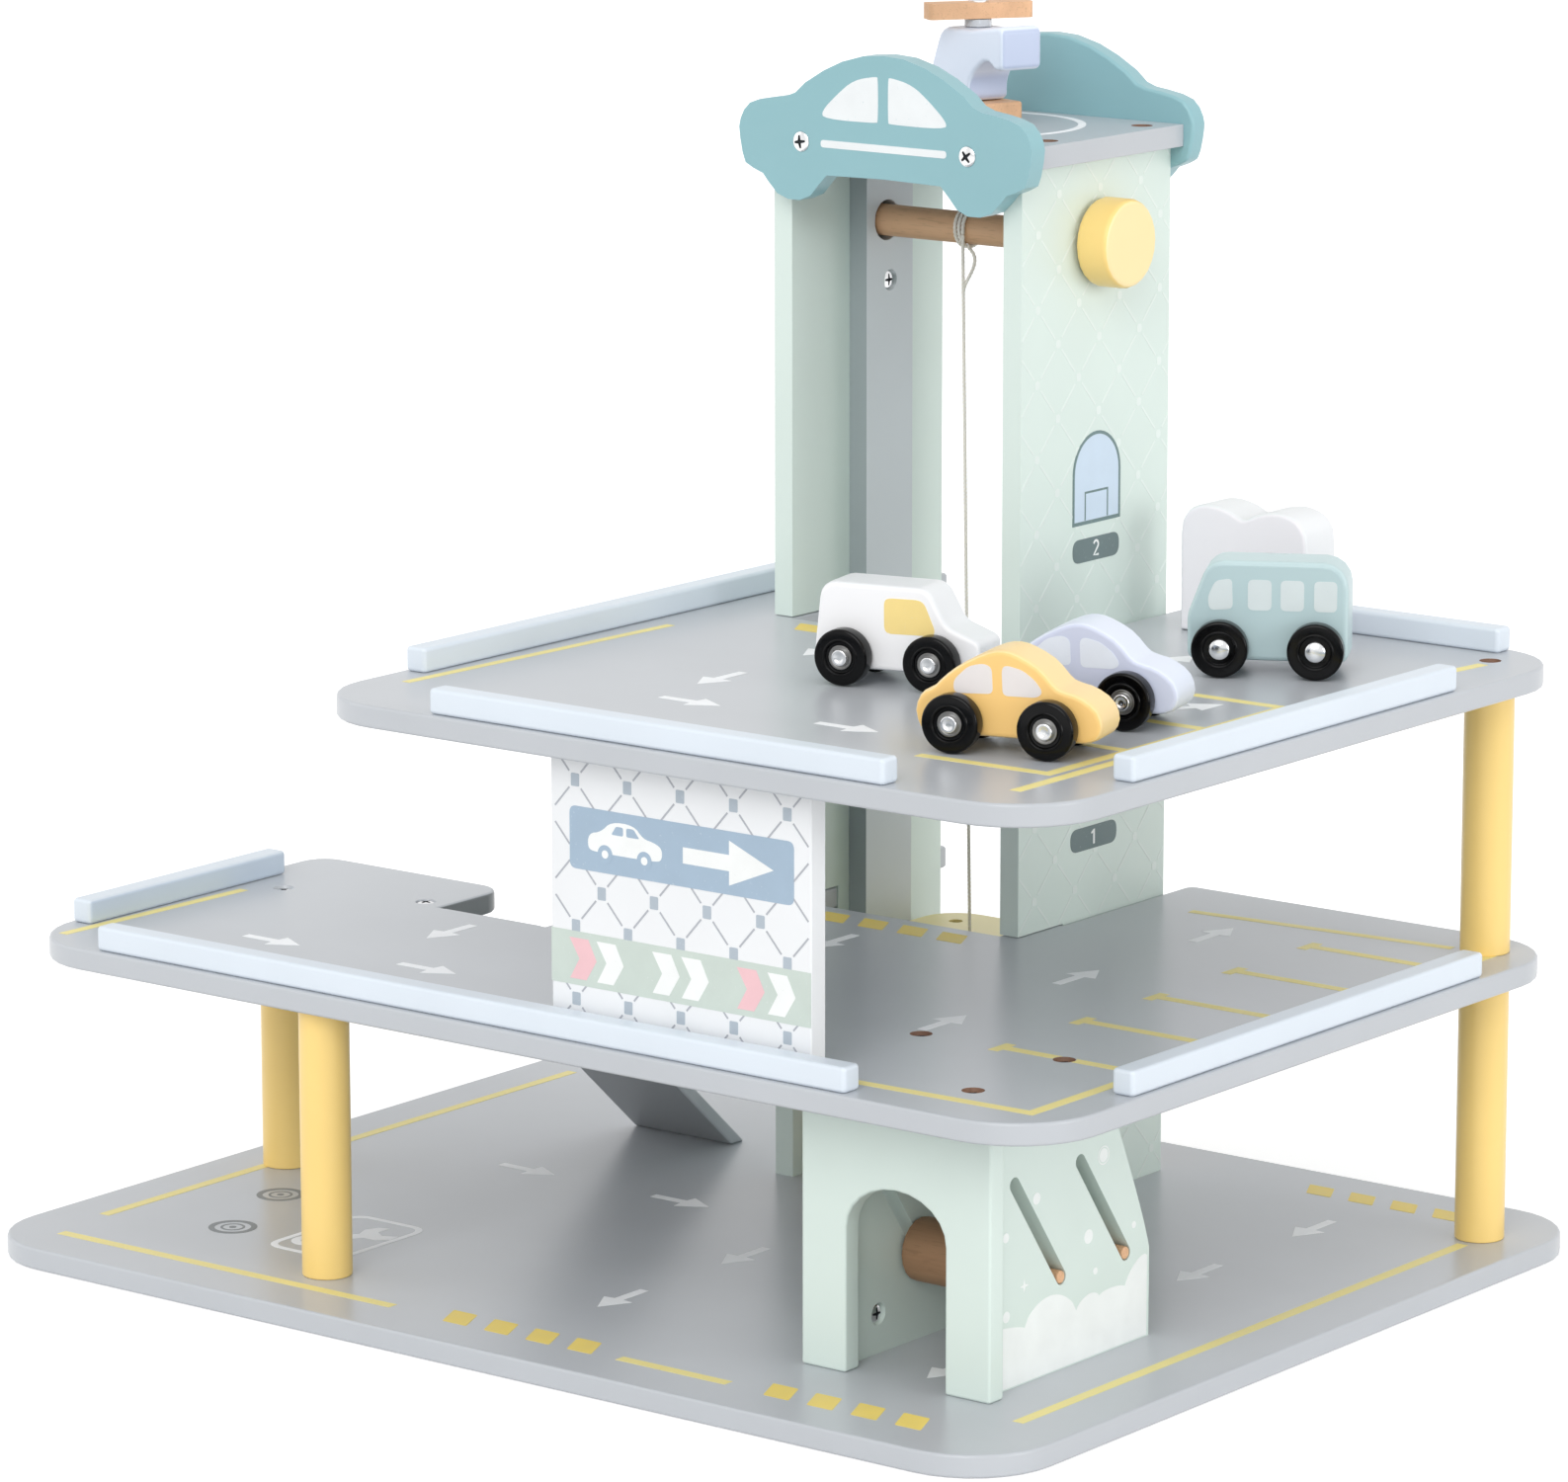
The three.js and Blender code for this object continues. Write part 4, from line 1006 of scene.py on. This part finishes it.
def makeBoardPrints():
    tyres = []
    for x, y in ((59.2, 120.8), (76.9, 72.2)):
        tyres += [ring(x, y, 9.9, 7.4), ring(x, y, 5, 4), disc(x, y, 1.5, 16)]
    sign = [[box(104, 60, 143, 117.6, 9), box(106.6, 62.6, 140.4, 115, 7)], spanner(123.5, 88.8, 56, 1.5)]
    boardPrints(
        "basePrints", "base_board",
        yellowInk=bars(
            (23, 54, 24.6, 351), (27.7, 24, 203, 25.5), (317.2, 24.4, 370, 24.2), (485, 50, 484.7, 353),
        ),
        dashInk=dashes(234.3, 28.8, 20.7) + dashes(392.5, 27.2, 20.4) + dashes(394.5, 386, 20.4, depth=12),
        whiteInk=arrows(
            (114.5, 213, 0), (196, 213, 0), (267, 164.5, -90), (266.5, 87.7, -90), (424, 336, -90),
            (424, 254.5, -90), (425, 89, -90),
        ) + sign,
        greyInk=tyres,
    )
    boardPrints(
        "levelOnePrints", "level_one_board",
        yellowInk=bars(
            (14, 43, 18, 147, 4.5), (404, 47.4, 492.4, 50.3), (490, 52.9, 490, 366),
            (351, 353, 471, 363, 4.5),
        ) + bayLines(),
        dashInk=dashes(242.4, 255.7, 19.8, 12.5, 13),
        whiteInk=arrows(
            (88.5, 86, 0), (169.5, 87, 0), (135, 141, -90), (268, 221.7, -90), (381, 232, 90), (382, 324, 90),
            (383.5, 140.5, 90),
        ),
    )
    boardPrints(
        "levelTwoPrints", "level_two_board",
        yellowInk=bars(
            (173, 72, 180, 228, 4.2), (480, 53, 480, 300), (472, 82, 472, 241), (414, 82.6, 469.4, 84.6),
            (482, 327, 486, 358), *((430, y, 469.4, y) for y in (136, 186.5, 238.3)),
        ),
        dashInk=dashes(228.5, 256.8, 20, depth=12),
        whiteInk=arrows(
            (265, 153, -90), (284.5, 110, 0), (362.5, 107, 0), (262, 224, -90), (385, 289, 90),
            (443, 217, 60),
        ),
    )
    arm = [(-4, -18), (4, -18), (4, -4)]
    cross = [point for turn in range(4) for point in turned(arm, 90 * turn)]
    boardPrints("roofPrints", "roof_board", whiteInk=[
        ring(262, 322, 45.5, 42.3, 96), turned(cross, 0, 262, 322),
    ])


makeBoardPrints()


def smooth(points, rounds, closed=False):
    # cuts the corners off a polyline or, if closed, a loop
    points = [Vector(point) for point in points]
    for _ in range(rounds):
        fresh = [] if closed else [points[0]]
        for here, after in zip(points, points[1:] + points[:1] if closed else points[1:]):
            fresh += [here.lerp(after, 0.25), here.lerp(after, 0.75)]
        points = fresh if closed else fresh + [points[-1]]
    return points


def smoothLoop(*points):
    return [tuple(point) for point in smooth(points, 2, closed=True)]


def makeSignPrints():
    left = smoothLoop(
        (232, 451.5), (258.4, 451.5), (259.2, 452.3), (259.2, 469.4), (258.4, 470.2), (247, 468),
        (238.5, 461.5), (231, 454.5),
    )
    right = smoothLoop(
        (264.2, 452.3), (265, 451.5), (292, 451.5), (293.5, 454), (284.5, 462), (276, 468), (265, 470.2),
        (264.2, 469.4),
    )
    stripe = box(230.5, 440, 293, 443, 1.5)
    sign = faceOf("front_sign", "front")
    makePrints("signPrints", "garage_frame", [(sign, "signInk", 0, [left, right, stripe])])

    panel = faceOf("sign_panel", "front")
    area = (270.9, 127.4, 395.3, 235.9)
    squares, lines = lattice((282.9, 140.6), (25.35, 14.15), area, (4.0, 5.0, 0.6), 0.75, 4.2)
    plate = box(280.2, 191.3, 387.4, 215.5, 3)
    car = smoothLoop(
        (-18, -4.5), (-14, -5.5), (14.5, -5.5), (18, -4.5), (18, 0.2), (13.5, 2), (9, 2.6), (4.5, 7.2),
        (-6.5, 7.2), (-11.5, 2.6), (-17.5, 1.4),
    )
    car = [(x + 307, y + 204.4) for x, y in car]
    window = [rounded([(300.5, 206.6), (306.3, 206.6), (306.3, 210), (302.8, 210)], 0.8, 3),
              rounded([(307.8, 206.6), (314.2, 206.6), (311.4, 210), (307.8, 210)], 0.8, 3)]
    wheels = [disc(297.5, 198.6, 3.6, 28), disc(316.5, 198.6, 3.6, 28)]
    hubs = [disc(297.5, 198.6, 1.6, 20), disc(316.5, 198.6, 1.6, 20)]
    pointer = [(335, 200.3), (357, 200.3), (357, 194.8), (378, 203.4), (357, 212), (357, 206.5), (335, 206.5)]
    band = box(270.9, 146, 395.3, 166.9)

    def chevron(x):
        steps = ((0, 164.3), (9.2, 164.3), (13.2, 156.4), (8.2, 148.4), (0.2, 148.4), (4.8, 156.4))
        return [(x + across, up) for across, up in steps]

    makePrints("panelPrints", "garage_frame", [
        (panel, "latticeInk", 0, lines), (panel, "squareInk", 0, squares), (panel, "plateInk", 0.06, [plate]),
        (panel, "chevronInk", 0.12, [[car, *window], pointer]), (panel, "plateInk", 0.16, wheels),
        (panel, "chevronInk", 0.2, hubs), (panel, "bandInk", 0.06, [band]),
        (panel, "chevronInk", 0.12, [chevron(x) for x in (293, 320, 334, 375)]),
        (panel, "pinkInk", 0.12, [chevron(x) for x in (279.8, 360.5)]),
    ])


makeSignPrints()


def archShape(left, right, foot, spring, top):
    middle, half = (left + right) / 2, (right - left) / 2
    return [(left, foot), (right, foot)] + arc((middle, spring), half, 0, 180, 20, top - spring)


def makeWallPrints():
    wall = faceOf("tower_right_wall", "right")
    dots, lines = [], []
    for foot, head in ((9.5, 116.5), (128, 234.5), (246.3, 436.5)):
        some = lattice((282, 350), (28, 15), (271.4, foot, 372.6, head), (3.2, 3.4, 1.4), 0.8, 3.4)
        dots += some[0]
        lines += some[1]
    outer = archShape(306.5, 339.5, 289.5, 310, 326.8)
    inner = archShape(307.8, 338.2, 291, 310, 325.5)
    glass = archShape(307.9, 338.1, 290.9, 310, 325.4)
    frameLine = [
        (314.7, 291.2), (315.6, 291.2), (315.6, 302), (330.1, 302), (330.1, 291.2), (331, 291.2),
        (331, 302.9), (314.7, 302.9),
    ]
    pills = [box(306.8, z - 4.8, 338.8, z + 4.8, 4.4) for z in (279, 160)]
    two = stroke([*arc((0, 1.5), 1.6, 165, -30, 8), (-1.5, -2.7), (1.9, -2.7)], 1.0)
    two = turned(two, 0, 322.8, 279)
    one = [
        (322.4, 157), (323.6, 157), (323.6, 163.1), (322.6, 163.1), (320.9, 161.9), (321.4, 161.2),
        (322.4, 161.8),
    ]
    makePrints("wallPrints", "garage_frame", [
        (wall, "wallInk", 0, dots + lines), (wall, "outlineInk", 0.05, [[outer, inner], frameLine]),
        (wall, "glassInk", 0.03, [glass]), (wall, "pillInk", 0.05, pills),
        (wall, "chevronInk", 0.1, [two, one]),
    ])

    wash = faceOf("wash_right_wall", "right")
    dips = [(71, 33.4), (91.3, 30.6), (124.2, 29.6), (139, 32.2), (156, 32), (170.5, 41)]  # between the lobes
    crest = []
    steps = 16
    for (first, last), rise in zip(zip(dips, dips[1:]), (0.9, 9.3, 3.3, 1.4, 3.6)):
        for step in range(steps):
            share = step / steps
            crest.append((
                first[0] + (last[0] - first[0]) * share,
                first[1] + (last[1] - first[1]) * share + rise * math.sin(math.pi * share) ** 0.6,
            ))
    crest.append(dips[-1])
    foam = [(71, 9.6), (170.5, 9.6)] + crest[::-1]
    arm = [(2.8, 0), (0.8 * math.sqrt(0.5), 0.8 * math.sqrt(0.5))]
    star = [point for turn in range(4) for point in turned(arm, 90 * turn)]
    bubbles = [
        disc(98.4, 79, 2.3, 28), ring(141.4, 86.6, 3.7, 3.2, 32), disc(141.4, 86.6, 2.7, 28),
        disc(131.9, 56.9, 2.8, 28), disc(161.6, 55, 1.4, 20), disc(136.6, 42.4, 1.4, 20),
        disc(79.5, 37.4, 2.2, 24), disc(79, 68, 1.9, 24), turned(star, 0, 90.8, 46.9),
    ]
    makePrints("washPrints", "garage_frame", [(wash, "foamInk", 0, [foam] + bubbles)])


makeWallPrints()

vehicleWindows = {  # along from the first axle, and height above the deck
    "car": [
        [(-1.1, 23.4), (-0.8, 26.8), (4.7, 32.1), (10.6, 33.6), (14, 32.3), (14.5, 22.3), (0, 21.7)],
        [(17.9, 31.9), (19.4, 33.5), (26, 32.1), (31.2, 28.4), (34.2, 24.2), (31.9, 22.1), (18.4, 21.9)],
    ],
    "van": [[
        (15.4, 33.4), (17.1, 34.7), (30, 34.9), (32.5, 33.6), (37.1, 23.1), (35.9, 21.1), (17.1, 20.7),
        (15.5, 22.2),
    ]],
    "bus": [
        [(-4.7, 25.5), (-5.5, 30.6), (-2.5, 37.3), (4.1, 38.3), (4.5, 26.2)],
        *[box(left, 25.9, right, 38) for left, right in ((10.3, 19.6), (23.1, 32.3), (36.2, 45.2))],
    ],
}
vehicleHalf = 11.0  # half a body's thickness


def makeVehiclePrints(vehicle, kind, ink):
    start = middleOf(f"{vehicle}_{vehicleEnds[vehicle][0]}_wheels")
    turn = Matrix.Translation(start) @ Matrix.Rotation(vehicleTurns[vehicle], 4, "Z")
    layers = []
    for side in (-1, 1):
        foot = Vector((0, side * vehicleHalf, -wheel["radius"])) * mm
        shapes = []
        for window in vehicleWindows[kind]:
            shape = [(-side * x, y) for x, y in rounded(window, 2.2, 5)]
            shapes.append(shape if side < 0 else shape[::-1])
        layers.append((turn @ faceOn(foot, (-side, 0, 0), (0, 0, 1)), ink, 0, shapes))
    makePrints(pieceName(vehicle) + "Windows", vehicle, layers)


makeVehiclePrints("yellow_car", "car", "carWindowInk")
makeVehiclePrints("lilac_car", "car", "lilacWindowInk")
makeVehiclePrints("white_van", "van", "vanWindowInk")
makeVehiclePrints("green_bus", "bus", "busWindowInk")
print("prints made")


# the lift's cord: three strands twisted together

cord = {
    "radius": 0.8, "strand": 0.46, "offset": 0.34, "lay": 5.0, "step": 0.6, "sides": 6, "smooth": 80,
    "axleRadius": 6.5, "gap": 0.3, "turns": 2.5, "pitch": 2.0, "steps": 120, "drop": 1.5, "travel": 227,
}
tuck = {"share": 1 / 12, "depth": 2.2}  # the start of the winding dips into the axle that holds it
tailRoute = [  # from the top of the fall, in millimetres
    (1.2, 1.6, -4.4), (1.6, 2.6, -5.9), (2.4, 4.0, -7.7), (3.3, 4.2, -10.4), (3.4, 2.8, -13.6),
    (2.6, 1.4, -16.6), (1.3, 0.9, -19.2), (0.2, 1.0, -21.2), (-0.3, 1.0, -23.0), (-0.4, 1.0, -24.6),
]
knotShape = {"steps": 60, "reach": 1.15, "wave": 0.5, "middle": 0.75, "rise": 0.7}


def walk(points, step):
    # evenly spaced points along a polyline, in millimetres
    lengths = [0.0]
    for first, second in zip(points, points[1:]):
        lengths.append(lengths[-1] + (second - first).length)
    count = max(2, round(lengths[-1] / step))
    places, index = [], 0
    for number in range(count + 1):
        reach = lengths[-1] * number / count
        while index < len(points) - 2 and lengths[index + 1] < reach:
            index += 1
        share = (reach - lengths[index]) / (lengths[index + 1] - lengths[index])
        places.append(points[index].lerp(points[index + 1], min(max(share, 0), 1)))
    return places


def twist(work, points):  # three strands round one path
    path = walk(points, cord["step"])
    for strand in range(3):
        rings = []
        reference = rightward
        for index, point in enumerate(path):
            before, after = path[max(index - 1, 0)], path[min(index + 1, len(path) - 1)]
            direction = (after - before).normalized()
            reference = (reference - direction * reference.dot(direction)).normalized()
            other = direction.cross(reference)

            def around(angle, reach):
                return (reference * math.cos(angle) + other * math.sin(angle)) * reach

            lay = 2 * math.pi * (index * cord["step"] / cord["lay"] + strand / 3)
            centre = point + around(lay, cord["offset"])
            rings.append([
                work.verts.new((centre + around(2 * math.pi * corner / cord["sides"], cord["strand"])) * mm)
                for corner in range(cord["sides"])
            ])
        for first, second in zip(rings, rings[1:]):
            joinRings(work, first, second)
        work.faces.new(rings[0])
        work.faces.new(list(reversed(rings[-1])))


def cordPiece(name, points, body):
    work = bmesh.new()
    twist(work, points)
    return newPiece(name, work, body, ["cotton"], cord["smooth"])


axleMiddle = middleOf("winch_axle") / mm
windingRadius = cord["axleRadius"] + cord["gap"] + cord["radius"]
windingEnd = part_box("lift_cord")[0].x / mm + cord["radius"]


def windingPoints():
    points = []
    for step in range(cord["steps"] + 1):
        share = step / cord["steps"]
        angle = 2 * math.pi * cord["turns"] * share
        radius = windingRadius - max(0.0, 1 - share / tuck["share"]) * tuck["depth"]
        points.append(Vector((
            windingEnd - (1 - share) * cord["turns"] * cord["pitch"],
            axleMiddle.y + radius * math.cos(angle),
            axleMiddle.z + radius * math.sin(angle),
        )))
    points.append(points[-1] - upward * cord["drop"])
    return points


def knotPoints():  # a closed trefoil
    shape, points = knotShape, []
    for step in range(shape["steps"] + 1):
        angle = 2 * math.pi * step / shape["steps"]
        reach = shape["reach"] + shape["wave"] * math.cos(3 * angle)
        rise = shape["middle"] + shape["rise"] * math.sin(3 * angle)
        points.append(Vector((reach * math.cos(2 * angle), reach * math.sin(2 * angle), rise)))
    return points


def makeCords():
    winding = cordPiece("cordWinding", windingPoints(), "winch")
    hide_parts("cord_winding")

    low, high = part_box("lift_cord")
    top = Vector((windingEnd, axleMiddle.y - windingRadius, high.z / mm))
    foot = Vector((windingEnd, middleOf("lift_roof").y / mm, low.z / mm))
    fall = cordPiece("liftCord", [top, foot], "garage_frame")
    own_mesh(fall)
    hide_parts("lift_cord")

    cordPiece("cordTail", smooth([top + Vector(place) for place in tailRoute], 3), "garage_frame")
    cordPiece("cabinKnot", [foot + point for point in knotPoints()], "lift_cabin")


makeCords()
print("cord made")


# studio: white floor, plain soft light

studio = {
    "floor": 14.0, "tiles": 8, "floorDrop": 0.05, "floorColour": (0.82, 0.82, 0.82, 1), "floorRough": 0.9,
    "floorGlow": 0.42, "worldLight": 0.76,
}
lamps = [  # name, strength, softness in degrees, where it shines from
    ("keyLight", 1.1, 40, (0.4, -1.0, 0.72)),
    ("sideLight", 0.8, 26, (1.0, 0.08, 0.14)),
    ("fillLight", 0.3, 50, (-1.0, -0.45, 0.5)),
]


def seenDirectly(tree):
    rays = addNode(tree, "ShaderNodeLightPath").outputs
    either = worked(tree, "MAXIMUM", rays["Is Camera Ray"], rays["Is Glossy Ray"])
    return worked(tree, "MAXIMUM", either, rays["Is Transmission Ray"])


def makeStudio():
    world = bpy.data.worlds.new("studio")
    bpy.context.scene.world = world
    world.use_nodes = True
    tree = world.node_tree
    strength = addNode(tree, "ShaderNodeMapRange", {
        "Value": seenDirectly(tree), "To Min": studio["worldLight"], "To Max": 1.0,
    }).outputs[0]
    back = tree.nodes["Background"]
    back.inputs["Color"].default_value = (1, 1, 1, 1)
    tree.links.new(strength, back.inputs["Strength"])

    for name, power, softness, direction in lamps:
        light = bpy.data.lights.new(name, "SUN")
        light.energy = power
        light.angle = math.radians(softness)
        placed(name, light).rotation_euler = Vector(direction).to_track_quat("Z", "Y").to_euler()

    work = bmesh.new()
    bmesh.ops.create_grid(work, x_segments=studio["tiles"], y_segments=studio["tiles"], size=studio["floor"])
    mesh = bpy.data.meshes.new("floor")
    work.to_mesh(mesh)
    work.free()
    floor = placed("floor", mesh)
    floor.location.z = -studio["floorDrop"] * mm
    material, tree = startMaterial("paleFloor")
    shader = tree.nodes["Principled BSDF"]
    shader.inputs["Base Color"].default_value = studio["floorColour"]
    shader.inputs["Roughness"].default_value = studio["floorRough"]
    shader.inputs["Emission Color"].default_value = (1, 1, 1, 1)
    glow = worked(tree, "MULTIPLY", seenDirectly(tree), studio["floorGlow"])
    tree.links.new(glow, shader.inputs["Emission Strength"])
    mesh.materials.append(material)
    bpy.context.scene.view_settings.view_transform = "Standard"


makeStudio()
print("studio lit")

print("scene ready")
